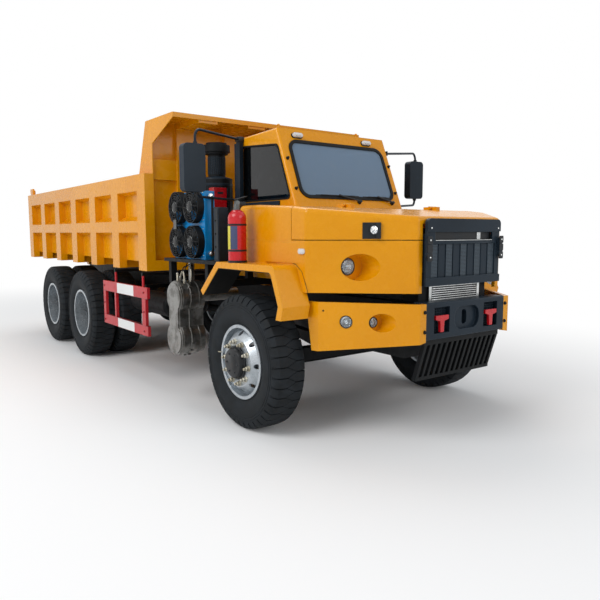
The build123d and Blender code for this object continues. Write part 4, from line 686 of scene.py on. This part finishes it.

# Dark sheets under the wheel arches and inside the flares, and the dark seams where the flares meet the wings
arch_sheets = bmesh.new()
for side in (-1, 1):
    path = ((-0.634, 0.955), (-0.602, 1.046), (-0.506, 1.2815), (0.236, 1.2815), (0.503, 1.045))
    verts = [arch_sheets.verts.new((side * 1.0135, aft(y), z)) for y, z in path]
    edges = [arch_sheets.edges.new(pair) for pair in zip(verts, verts[1:])]
    grown = bmesh.ops.extrude_edge_only(arch_sheets, edges=edges)["geom"]
    far = [item for item in grown if isinstance(item, bmesh.types.BMVert)]
    bmesh.ops.translate(arch_sheets, vec=(side * 0.233, 0, 0), verts=far)
    slab(arch_sheets, (side * 0.662, -0.504, 1.2805), (side * 1.0125, 0.222, 1.2845))
bmesh.ops.recalc_face_normals(arch_sheets, faces=arch_sheets.faces)
bmesh.ops.solidify(arch_sheets, geom=arch_sheets.faces, thickness=0.0025)
keep(arch_sheets, "dark_arch_sheets", seal_rubber)
seam = ((-0.5, 1.345), (-0.539, 1.339), (-0.612, 1.288), (-0.676, 1.155), (-0.684, 1.14))
seams = [[(side * 1.0405, distance, z) for distance, z in seam] for side in (-1, 1)]
pipes("flare_seams", seams, 0.002, seal_rubber, smooth=False, sides=1)

# Cab: rubber round its windows, pillar buffers, wipers, roof lamps and lifting eyes
screen = axes((0, aft(0.14), 2.1285), ACROSS, Vector((0, 0.3822, 0.9241)), Vector((0, -0.9241, 0.3822)))
rubbers = bmesh.new()
sunk = screen @ Matrix.Translation((0, 0, -0.004))
rounded_plate(rubbers, oblong(0.56, 0.276, -0.016), 0.1, 0.014, sunk, 0.03, 10)
side_panes = (
    (-1, ((0.06, 1.85), (0.835, 1.85), (0.835, 2.366), (0.255, 2.328)), 0.055),
    (1, ((0.115, 1.845), (0.23, 1.853), (0.23, 2.122)), 0.012))
for side, corners, rounding in side_panes:
    place = axes(side * CAB_SIDE_X * ACROSS, BACK, UP, side * ACROSS)
    rounded_plate(rubbers, [(aft(y), z) for y, z in corners], rounding, 0.007, place, 0.014, 8)
for x, y in ((-0.602, 0.075), (-0.59, -0.205), (0.602, 0.075), (0.59, -0.205)):
    turned(
        rubbers, ((-0.001, 0), (-0.001, 0.015), (0.006, 0.015), (0.009, 0.01), (0.022, 0.009), (0.025, 0)),
        proud_of(screen, x, y), 14)
keep(rubbers, "window_rubbers", seal_rubber)
door_rubber = bmesh.new()
place = axes(CAB_SIDE_X * ACROSS, BACK, UP, ACROSS)
rounded_plate(
    door_rubber, [(aft(y), z) for y, z in ((0.345, 1.86), (0.855, 1.885), (0.855, 2.32), (0.345, 2.29))],
    0.055, 0.007, place, 0.014, 8)
keep(door_rubber, "door_window_rubber", seal_rubber, "door_left")

wipers = bmesh.new()
for pivot_x, blade_start, blade_end in ((0.09, -0.4, 0.1), (0.505, 0.15, 0.49)):
    turned(
        wipers, ((-0.004, 0), (-0.004, 0.02), (0.01, 0.02), (0.016, 0.015), (0.03, 0.013), (0.033, 0)),
        proud_of(screen, pivot_x, -0.312), 16)
    middle = (blade_start + blade_end) / 2
    run = Vector((middle - pivot_x, 0.052, 0))
    turn = Matrix.Rotation(pi + atan2(run.y, run.x), 4, "Z")
    arm = screen @ Matrix.Translation((pivot_x, -0.312, 0.026)) @ turn
    slab(wipers, (-run.length, -0.007, -0.004), (0.018, 0.007, 0.004), 0.003, 2, arm)
    slab(wipers, (blade_start, -0.266, 0.006), (blade_end, -0.256, 0.012), 0.002, 2, screen)
    slab(wipers, (blade_start + 0.05, -0.265, 0.012), (blade_end - 0.05, -0.257, 0.02), 0.003, 2, screen)
keep(wipers, "wipers", black_plastic)

lamps, feet = bmesh.new(), bmesh.new()
for x in (-0.44, 0.375):
    place = screen @ Matrix.Translation((x, 0.3, 0.0))
    rounded_plate(feet, oblong(0.058, 0.024), 0.022, 0.01, place)
    rounded_plate(lamps, oblong(0.052, 0.019), 0.018, 0.028, place)
    rounded_plate(lamps, oblong(0.04, 0.012), 0.011, 0.036, place)
keep(lamps, "roof_lamps", clear_plastic)
eye_rings = bmesh.new()
for x in (-0.59, 0.31):
    ring(eye_rings, 0.008, 0.017, 0.005, facing((x, aft(0.315), 2.487), (1, 0, 0.15)), 18)
    foot = facing((x, aft(0.315), 2.464), UP)
    turned(feet, ((-0.002, 0), (-0.002, 0.016), (0.004, 0.015), (0.006, 0)), foot, 14)
keep(eye_rings, "lifting_eyes", paint)
keep(feet, "roof_fittings", black_plastic)

# Cowl: pressed slats in the two air inlets, and a sheet under them, both dark brown to paint the shade inside
# the inlets
slats = bmesh.new()
for side in (-1, 1):
    # The sheet at the bottom of each inlet: painted shade in the recess
    slab(slats, (side * 0.216, -0.104, 1.7692), (side * 0.604, -0.026, 1.7705))
    for number in range(13):
        x = side * (0.235 + number * 0.0292)
        tilt = Matrix.Translation((x, aft(-0.065), 1.779)) @ Matrix.Rotation(radians(28), 4, "Y")
        slab(slats, (-0.0015, -0.037, -0.008), (0.0015, 0.037, 0.008), 0, 1, tilt)
keep(slats, "cowl_slats", inlet_shade_brown)

# Mirrors: glass in a rubber rim at the back of each head, and the clamps on the arms
mirror_glass, clamps = bmesh.new(), bmesh.new()
for head_x, arm_x, distance, height in ((-1.304, -1.278, 0.54, 2.105), (1.33, 1.345, 0.5, 2.128)):
    back = axes((head_x, aft(distance + 0.04), height), -ACROSS, UP, BACK)
    rounded_plate(mirror_glass, oblong(0.088, 0.185), 0.03, 0.003, back)
    rounded_plate(clamps, oblong(0.098, 0.195), 0.036, 0.006, back, 0.01)
    for z in (height - 0.204, height + 0.204):
        ring(clamps, 0.012, 0.018, 0.012, facing((arm_x, aft(distance), z), UP), 20)
for z in (2.425, 1.868):
    slab(clamps, (-0.7, 0.795, z - 0.022), (-0.64, 0.865, z + 0.022), 0.004, 2)
    bolts(clamps, [facing((-0.7, aft(distance), z), -ACROSS) for distance in (0.812, 0.848)], 0.006, 0.009)
keep(mirror_glass, "mirror_glass", silvered_glass)
keep(clamps, "mirror_clamps", black_plastic)

# Extinguisher: valve, levers, hose, straps and a plain two-tone label
BOTTLE_X, BOTTLE_DISTANCE = -1.182, 0.045
bottle = Vector((BOTTLE_X, aft(BOTTLE_DISTANCE), 0))
upright = facing(bottle, UP)
straps, valve, levers = bmesh.new(), bmesh.new(), bmesh.new()
for z in (1.631, 1.43):
    ring(straps, 0.0715, 0.0745, 0.007, facing(bottle + z * UP, UP), 40)
    slab(straps, (-1.158, 0.1, z - 0.007), (-1.13, 0.114, z + 0.007), 0.002, 1)
slab(straps, (-1.16, 0.112, 1.336), (-1.128, 0.122, 1.665), 0.003, 2)
slab(straps, (-1.168, 0.1, 1.336), (-1.12, 0.15, 1.342), 0.002, 1)
turned(straps, ((1.3355, 0.0718), (1.3355, 0.076), (1.35, 0.076), (1.353, 0.0718)), upright, 40)
keep(straps, "extinguisher_straps", black_plastic)
turned(
    valve, ((1.744, 0.0285), (1.762, 0.0285), (1.766, 0.0255), (1.792, 0.0255), (1.796, 0.0215),
            (1.816, 0.0215), (1.82, 0.012), (1.826, 0.01), (1.826, 0)), upright, 20)
turned(
    valve, ((0.018, 0.013), (0.034, 0.013), (0.038, 0.017), (0.046, 0.017), (0.048, 0)),
    facing(bottle + 1.8 * UP, (-0.4, -1, 0)), 20)
keep(valve, "extinguisher_valve", gunmetal)
tilt = Matrix.Translation(bottle + 1.832 * UP) @ Matrix.Rotation(radians(-14), 4, "Y")
slab(levers, (-0.022, -0.011, -0.003), (0.095, 0.011, 0.003), 0.0025, 2, tilt)
slab(levers, (-1.199, 0.0315, 1.7805), (-1.105, 0.0585, 1.8115), 0.003, 2)
keep(levers, "extinguisher_levers", black_plastic)
hose = [
    (BOTTLE_X + x, BOTTLE_DISTANCE + behind, z) for x, behind, z in (
        (0.018, 0.012, 1.8), (0.05, 0.045, 1.806), (0.066, 0.064, 1.77), (0.056, 0.066, 1.7),
        (0.04, 0.072, 1.6), (0.036, 0.074, 1.5), (0.036, 0.075, 1.455))]
pipes("extinguisher_pipe", [hose], 0.009, seal_rubber)
for shade, finish, start, width in (("pale", label_yellow, 56, 46), ("dark", label_blue, 102, 48)):
    label = bmesh.new()
    turn = upright @ Matrix.Rotation(radians(start), 4, "X")
    turned(label, ((1.44, 0.0728), (1.621, 0.0728)), turn, 12, angle=radians(width))
    keep(label, f"extinguisher_label_{shade}", finish)

# Oil cooler: domed wire guards, hub caps, couplings with their pipe, and a mounting plate
FANS = [(distance, height) for height in (1.487, 1.8) for distance in (0.85, 1.15)]
GUARD_X = -1.181
HUB_X = -1.182
GUARD_RINGS = ((0.06, 0.012), (0.082, 0.01), (0.104, 0.007), (0.124, 0.003), (0.14, -0.003))
GUARD_SPOKE = ((0.042, 0.012, 0.0), (0.075, 0.011, 0.12), (0.11, 0.006, 0.2), (0.142, -0.004, 0.24))


def on_guard(fan, radius, dome, turn):
    """A point of a fan's guard, by its place about the fan and how far it is domed."""
    return (GUARD_X - dome, fan[0] + radius * cos(turn), fan[1] + radius * sin(turn))


wires = [
    [on_guard(fan, radius, dome, 2 * pi * number / 24) for number in range(24)]
    for fan in FANS for radius, dome in GUARD_RINGS]
pipes("fan_guard_wires", wires, 0.0022, black_gloss, looped=True, smooth=False, sides=1)
spokes = [
    [on_guard(fan, radius, dome, 2 * pi * (number + 0.5) / 12 + swirl) for radius, dome, swirl in GUARD_SPOKE]
    for fan in FANS for number in range(12)]
pipes("fan_guard_spokes", spokes, 0.0024, black_gloss, sides=1)
hubs, fittings, fan_plate = bmesh.new(), bmesh.new(), bmesh.new()
for distance, height in FANS:
    hub = facing((HUB_X, aft(distance), height), -ACROSS)
    turned(hubs, ((-0.002, 0.046), (0.004, 0.046), (0.01, 0.038), (0.013, 0.02), (0.014, 0)), hub, 28)
    turned(
        fittings, ((-0.001, 0.0455), (0.0065, 0.0455), (0.0065, 0.05), (-0.001, 0.05)), hub, 28,
        closed=True)
    for y, z in oblong(0.118, 0.118):
        bolts(fittings, [facing((-1.115, aft(distance) + y, height + z), -ACROSS)], 0.006, 0.006)
for z in (1.885, 1.385):
    turned(
        fittings, ((0.0, 0.022), (0.012, 0.022), (0.014, 0.026), (0.032, 0.026), (0.034, 0.02),
                   (0.046, 0.02), (0.048, 0.012), (0.048, 0)), facing((-1.066, aft(0.7), z), -BACK), 20)
slab(fan_plate, (-1.19, 1.12, 1.6), (-1.185, 1.18, 1.69), 0.002, 1)
slab(fan_plate, (-1.186, 1.14, 1.635), (-1.114, 1.16, 1.655), 0.002, 1)
keep(fan_plate, "fan_plate", gunmetal)
keep(hubs, "fan_hub_caps", black_gloss)
keep(fittings, "cooler_fittings", bright_zinc)
cooler_line = [
    (-1.066, 0.66, 1.885), (-1.07, 0.64, 1.86), (-1.072, 0.64, 1.8), (-1.072, 0.64, 1.64),
    (-1.07, 0.64, 1.48), (-1.07, 0.642, 1.42), (-1.066, 0.66, 1.387)]
pipes("cooler_pipe", [cooler_line], 0.011, seal_rubber)

# Boxes: the red box's opening, the slate box's screws and lid
details = bmesh.new()
rounded_plate(
    details, oblong(0.03, 0.01), 0.006, 0.003, axes((-0.806, aft(0.965), 1.94), ACROSS, UP, -BACK))
bolts(details, [facing((-1.17, aft(0.412), z), -ACROSS) for z in (1.45, 1.56, 1.67)], 0.007, 0.01)
slab(details, (-1.1745, 0.366, 1.345), (-1.17, 0.4, 1.765), 0.002, 1)
keep(details, "box_details", black_plastic)

# Air cleaner: clamp bands, shallow ribs down the canister and louvres under the cap
RIBS = 28
bands = bmesh.new()
cleaner = Vector((-0.69, aft(1.23), 0))
for z in (1.76, 2.03):
    ring(bands, 0.1515, 0.156, 0.012, facing(cleaner + z * UP, UP), 48)
turned(bands, ((2.08, 0.1525), (2.092, 0.15), (2.104, 0.12), (2.112, 0.085)), facing(cleaner, UP), 48)
for number in range(RIBS):
    turn = Matrix.Translation(cleaner) @ Matrix.Rotation(2 * pi * number / RIBS, 4, "Z")
    slab(bands, (0.15, -0.004, 1.785), (0.155, 0.004, 2.005), 0.0015, 1, turn)
    slab(bands, (0.084, -0.005, 2.13), (0.087, 0.005, 2.3), 0.001, 1, turn)
keep(bands, "cleaner_bands", slate)

# Muffler: clamp straps, seam bolts, and the sensor and loom lines on top
STUDS = 14
muffler_bands = bmesh.new()
for x in (-1.262, -1.1):
    ring(muffler_bands, 0.1465, 0.1505, 0.011, facing((x, aft(0.985), 0.985), ACROSS), 44)
    ring(muffler_bands, 0.1545, 0.1585, 0.011, facing((x, aft(0.99), 0.605), ACROSS), 44)
for number in range(STUDS):
    turn = 2 * pi * number / STUDS
    radius, z = (0.158, 0.985) if cos(turn) >= 0 else (0.166, 0.605)
    spot = (-1.197, aft(0.985) + radius * sin(turn) * 0.99, z + radius * cos(turn) * 0.99)
    turned(muffler_bands, ((-0.01, 0), (-0.01, 0.008), (0.022, 0.008), (0.022, 0)), facing(spot, ACROSS), 6)
keep(muffler_bands, "muffler_bands", muffler_steel)
sensor_lines = [
    [(-1.23, 0.9, 1.115), (-1.235, 0.88, 1.18), (-1.225, 0.93, 1.225), (-1.2, 1.0, 1.215),
     (-1.19, 1.06, 1.16), (-1.185, 1.08, 1.105)],
    [(-1.255, 0.98, 1.13), (-1.262, 0.96, 1.185), (-1.24, 1.02, 1.205), (-1.215, 1.07, 1.15),
     (-1.21, 1.08, 1.1)],
    [(-1.15, 0.93, 1.125), (-1.15, 0.9, 1.19), (-1.13, 0.97, 1.24), (-1.11, 1.03, 1.285)]]
pipes("sensor_lines", sensor_lines, 0.0065, pale_sleeve)
loom_lines = [
    [(-1.238, 0.94, 1.125), (-1.244, 0.91, 1.2), (-1.215, 0.95, 1.25), (-1.165, 1.01, 1.262),
     (-1.12, 1.07, 1.255), (-1.095, 1.1, 1.29)],
    [(-1.172, 0.88, 1.095), (-1.178, 0.85, 1.15), (-1.16, 0.88, 1.215), (-1.125, 0.94, 1.25),
     (-1.1, 0.99, 1.292)],
    [(-1.12, 1.06, 1.11), (-1.128, 1.08, 1.17), (-1.15, 1.04, 1.235), (-1.175, 0.97, 1.262),
     (-1.15, 0.92, 1.29)]]
pipes("loom_lines", loom_lines, 0.005, seal_rubber)
clips = bmesh.new()
for line, number in ((0, 2), (0, 4), (1, 2), (2, 2)):
    before, here, after = (Vector(point) for point in sensor_lines[line][number - 1:number + 2])
    near = AXLE_FRAME @ ((before + here * 6 + after) / 8)
    ring(clips, 0.006, 0.0095, 0.008, facing(near, after - before), 14)
keep(clips, "sensor_clips", bright_zinc)

# Side guards: pale bands on both rails, darker edges
pale, dark = bmesh.new(), bmesh.new()
for side in (-1, 1):
    for low, high in ((0.519, 0.618), (0.902, 1.013)):
        slab(pale, (side * 1.249, 2.06, low), (side * 1.2512, 2.535, high), 0.0006, 1)
    for low, high in ((0.617, 0.6215), (0.8985, 0.903)):
        slab(dark, (side * 1.2175, 1.7, low), (side * 1.2506, 2.98, high), 0.0006, 1)
    for distance in (1.795, 2.945):
        spots = [facing((side * 1.25, aft(distance), z), side * ACROSS) for z in (0.56, 0.76, 0.96)]
        bolts(dark, spots, 0.009, 0.009)
keep(pale, "guard_bands", pale_enamel)
keep(dark, "guard_edges", dark_red)

# Left side: door handle, grab rail, step treads, and the straps and cap of the fuel tank
handle = bmesh.new()
slab(handle, (0.64, 0.76, 1.69), (0.648, 0.885, 1.745), 0.004, 2)
slab(handle, (0.652, 0.775, 1.712), (0.668, 0.865, 1.73), 0.006, 3)
slab(handle, (0.646, 0.775, 1.712), (0.656, 0.79, 1.73), 0.002, 1)
slab(handle, (0.646, 0.85, 1.712), (0.656, 0.865, 1.73), 0.002, 1)
keep(handle, "door_handle", black_plastic, "door_left")
rail = [
    (x, 0.93, z) for x, z in (
        (0.654, 1.52), (0.7, 1.53), (0.705, 1.6), (0.705, 2.15), (0.7, 2.21), (0.654, 2.22))]
pipes("grab_rail", [rail], 0.012, slate)
treads = bmesh.new()
for top in (0.47, 0.72, 0.97):
    for number in range(9):
        y = 0.7 + number * 0.03
        slab(treads, (0.925, y - 0.004, top), (1.16, y + 0.004, top + 0.006), 0.002, 1)
for y in (0.5, 0.56, 0.62):
    slab(treads, (0.7, y - 0.004, 1.2), (1.15, y + 0.004, 1.205), 0.002, 1)
keep(treads, "step_treads", slate)
tank_straps = bmesh.new()
for y in (1.73, 2.63):
    slab(tank_straps, (0.56, y, 1.0095), (1.05, y + 0.05, 1.0135), 0.001, 1)
    slab(tank_straps, (1.0995, y, 0.61), (1.1035, y + 0.05, 0.96), 0.001, 1)
turned(
    tank_straps, ((0, 0.045), (0.02, 0.045), (0.024, 0.055), (0.046, 0.055), (0.05, 0.048), (0.05, 0)),
    facing((0.8, aft(1.58), 1.009), UP), 28)
keep(tank_straps, "tank_straps", bright_zinc)

# Rear: tail lamps on their bar, and the hooks that hold the tailgate
tails, tail_boxes = bmesh.new(), bmesh.new()
for side in (-1, 1):
    slab(tail_boxes, (side * 0.7, 6.01, 0.585), (side * 1.02, 6.06, 0.695), 0.008, 2)
    for x in (0.75, 0.86, 0.97):
        turned(
            tails, ((-0.002, 0), (-0.002, 0.042), (0.008, 0.042), (0.013, 0.036), (0.016, 0.02), (0.017, 0)),
            facing((side * x, aft(6.06), 0.64), BACK), 28)
keep(tail_boxes, "tail_lamp_boxes", black_plastic)
keep(tails, "tail_lamps", red_lens)
hooks = bmesh.new()
for side in (-1, 1):
    slab(hooks, (side * 1.14, 6.33, 1.235), (side * 1.166, 6.41, 1.265), 0.004, 2)
    slab(hooks, (side * 1.14, 6.398, 1.235), (side * 1.166, 6.412, 1.345), 0.004, 2)
keep(hooks, "tailgate_hooks", chassis_black, "dump_body")

# Cab inside: the ribbed housing behind the side window, and the seat's two cushions
housing = bmesh.new()
for number in range(6):
    y = 0.652 + number * 0.027
    slab(housing, (-0.513, y - 0.006, 1.78), (-0.505, y + 0.006, 2.17), 0.003, 2)
    slab(housing, (-0.602, y - 0.006, 2.196), (-0.512, y + 0.006, 2.212), 0.003, 2)
keep(housing, "housing_ribs", slate)


def cushion(name, size, place, replaced=()):
    """A foam cushion: crowned faces, pulled-in sides and two sewn channels."""
    mesh = bmesh.new()
    made = bmesh.ops.create_cube(mesh, size=1.0)["verts"]
    bmesh.ops.scale(mesh, vec=size, verts=made)
    bmesh.ops.subdivide_edges(mesh, edges=list(mesh.edges), cuts=11, use_grid_fill=True)
    for vert in mesh.verts:
        across, along, up = (vert.co[k] / (size[k] / 2) for k in range(3))
        crown = (1 - across ** 4) * (1 - along ** 4)
        channel = 0.1 * sum(max(0.0, 1 - abs(across - line) / 0.1) for line in (-0.45, 0.45))
        if up > 0.5:
            vert.co.z += size[2] * (0.22 * crown - channel)
        vert.co.x *= 1 - 0.05 * (1 - abs(along)) * (1 - abs(up))
        vert.co.y *= 1 - 0.04 * (1 - abs(across)) * (1 - abs(up))
    rims = [
        edge for edge in mesh.edges
        if len(edge.link_faces) == 2 and edge.calc_face_angle(0.0) > 0.9]
    bmesh.ops.bevel(
        mesh, geom=rims, offset=size[2] * 0.18, segments=3, profile=0.5, affect="EDGES", material=-1,
        clamp_overlap=True)
    bmesh.ops.smooth_vert(
        mesh, verts=mesh.verts, factor=0.5, use_axis_x=True, use_axis_y=True, use_axis_z=True)
    bmesh.ops.transform(mesh, matrix=place, verts=mesh.verts)
    piece = keep(mesh, name, seat_cloth, replaced=replaced, crease=60.0)


cushion("seat_cushion", (0.47, 0.43, 0.11), Matrix.Translation((0, aft(0.615), 1.536)), ("seat",))
lean = Matrix.Translation((0, aft(0.8), 1.89)) @ Matrix.Rotation(radians(85), 4, "X")
cushion("seat_back", (0.45, 0.57, 0.07), lean)
base = bmesh.new()
slab(base, (-0.15, 0.48, 1.2), (0.15, 0.8, 1.44), 0.02, 3)
slab(base, (-0.2, 0.44, 1.44), (0.2, 0.82, 1.482), 0.01, 2)
keep(base, "seat_base", black_plastic)

# Floor: matte and pale, passing into plain white far from the truck
WHITE = (1.0, 1.0, 1.0, 1.0)
GREATER = {"operation": "MAXIMUM"}
floor_mesh = bmesh.new()
bmesh.ops.create_circle(floor_mesh, cap_ends=True, segments=64, radius=60.0)
floor_data = bpy.data.meshes.new("floor")
floor_mesh.to_mesh(floor_data)
floor_mesh.free()
floor = add_object("floor", floor_data)
floor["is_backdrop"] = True
floor_material, tree, place = new_material("pale_floor")
shortened = add_node(tree, "VectorMath", (place, (1.0, 0.5, 1.0)), {"operation": "MULTIPLY"})[0]
distance = add_node(tree, "VectorMath", (shortened,), {"operation": "LENGTH"})["Value"]
far = add_node(tree, "MapRange", (distance, 1.0, 6.5, 0.0, 1.0), SMOOTH)[0]
path = add_node(tree, "LightPath")
seen = add_node(tree, "Math", (path["Is Camera Ray"], path["Is Glossy Ray"]), GREATER)[0]
share = add_node(tree, "Math", (far, seen), {"operation": "MULTIPLY"})[0]
matte = add_node(tree, "BsdfDiffuse", {"Color": (0.93, 0.93, 0.93, 1.0)})[0]
glow = add_node(tree, "Emission", {"Color": WHITE, "Strength": 1.0})[0]
add_node(tree, "OutputMaterial", {"Surface": add_node(tree, "MixShader", (share, matte, glow))[0]})
floor_data.materials.append(floor_material)

# World: soft daylight on the object, and plain white behind it
world = bpy.data.worlds.new("studio")
bpy.context.scene.world = world
world.use_nodes = True
tree = world.node_tree
tree.nodes.clear()
path = add_node(tree, "LightPath")
direct = add_node(tree, "Math", (path["Is Camera Ray"], path["Is Glossy Ray"]), GREATER)[0]
clear = add_node(tree, "Math", (direct, path["Is Transmission Ray"]), GREATER)[0]
lit = add_node(tree, "Background", {"Color": tone("EEF3F8"), "Strength": 0.44})[0]
shown = add_node(tree, "Background", {"Color": WHITE, "Strength": 1.0})[0]
add_node(tree, "OutputWorld", {"Surface": add_node(tree, "MixShader", (clear, lit, shown))[0]})

# Soft lamps: name, place, width in metres, watts, and where each is aimed
for name, place, size, power, target in (
    ("soft_key", (-9.0, -3.0, 8.0), 7.0, 640.0, (0.0, 0.0, 1.2)),
    ("soft_front", (2.0, -11.0, 5.0), 6.0, 210.0, (0.0, -2.0, 1.2)),
    ("soft_top", (1.0, 3.0, 10.0), 8.0, 380.0, (0.0, 0.5, 1.5)),
):
    lamp = bpy.data.lights.new(name, "AREA")
    lamp.shape, lamp.size, lamp.energy = "DISK", size, power
    holder = add_object(name, lamp)
    holder.location = place
    holder.rotation_euler = (Vector(target) - Vector(place)).to_track_quat("-Z", "Y").to_euler()

# Camera at the photograph's angle, and plain colours
view = bpy.data.cameras.new("view")
view.sensor_width, view.lens = SENSOR_MM, LENS_MM
view.clip_end = 300.0
camera = add_object("view", view)
camera.location = CAMERA_PLACE
turn = Matrix.Rotation(radians(-CAMERA_YAW), 4, "Z") @ Matrix.Rotation(radians(90 - CAMERA_DOWN), 4, "X")
camera.rotation_euler = (turn @ Matrix.Rotation(radians(-CAMERA_ROLL), 4, "Z")).to_euler()
bpy.context.scene.camera = camera
bpy.context.scene.view_settings.view_transform = "Standard"

low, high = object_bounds()
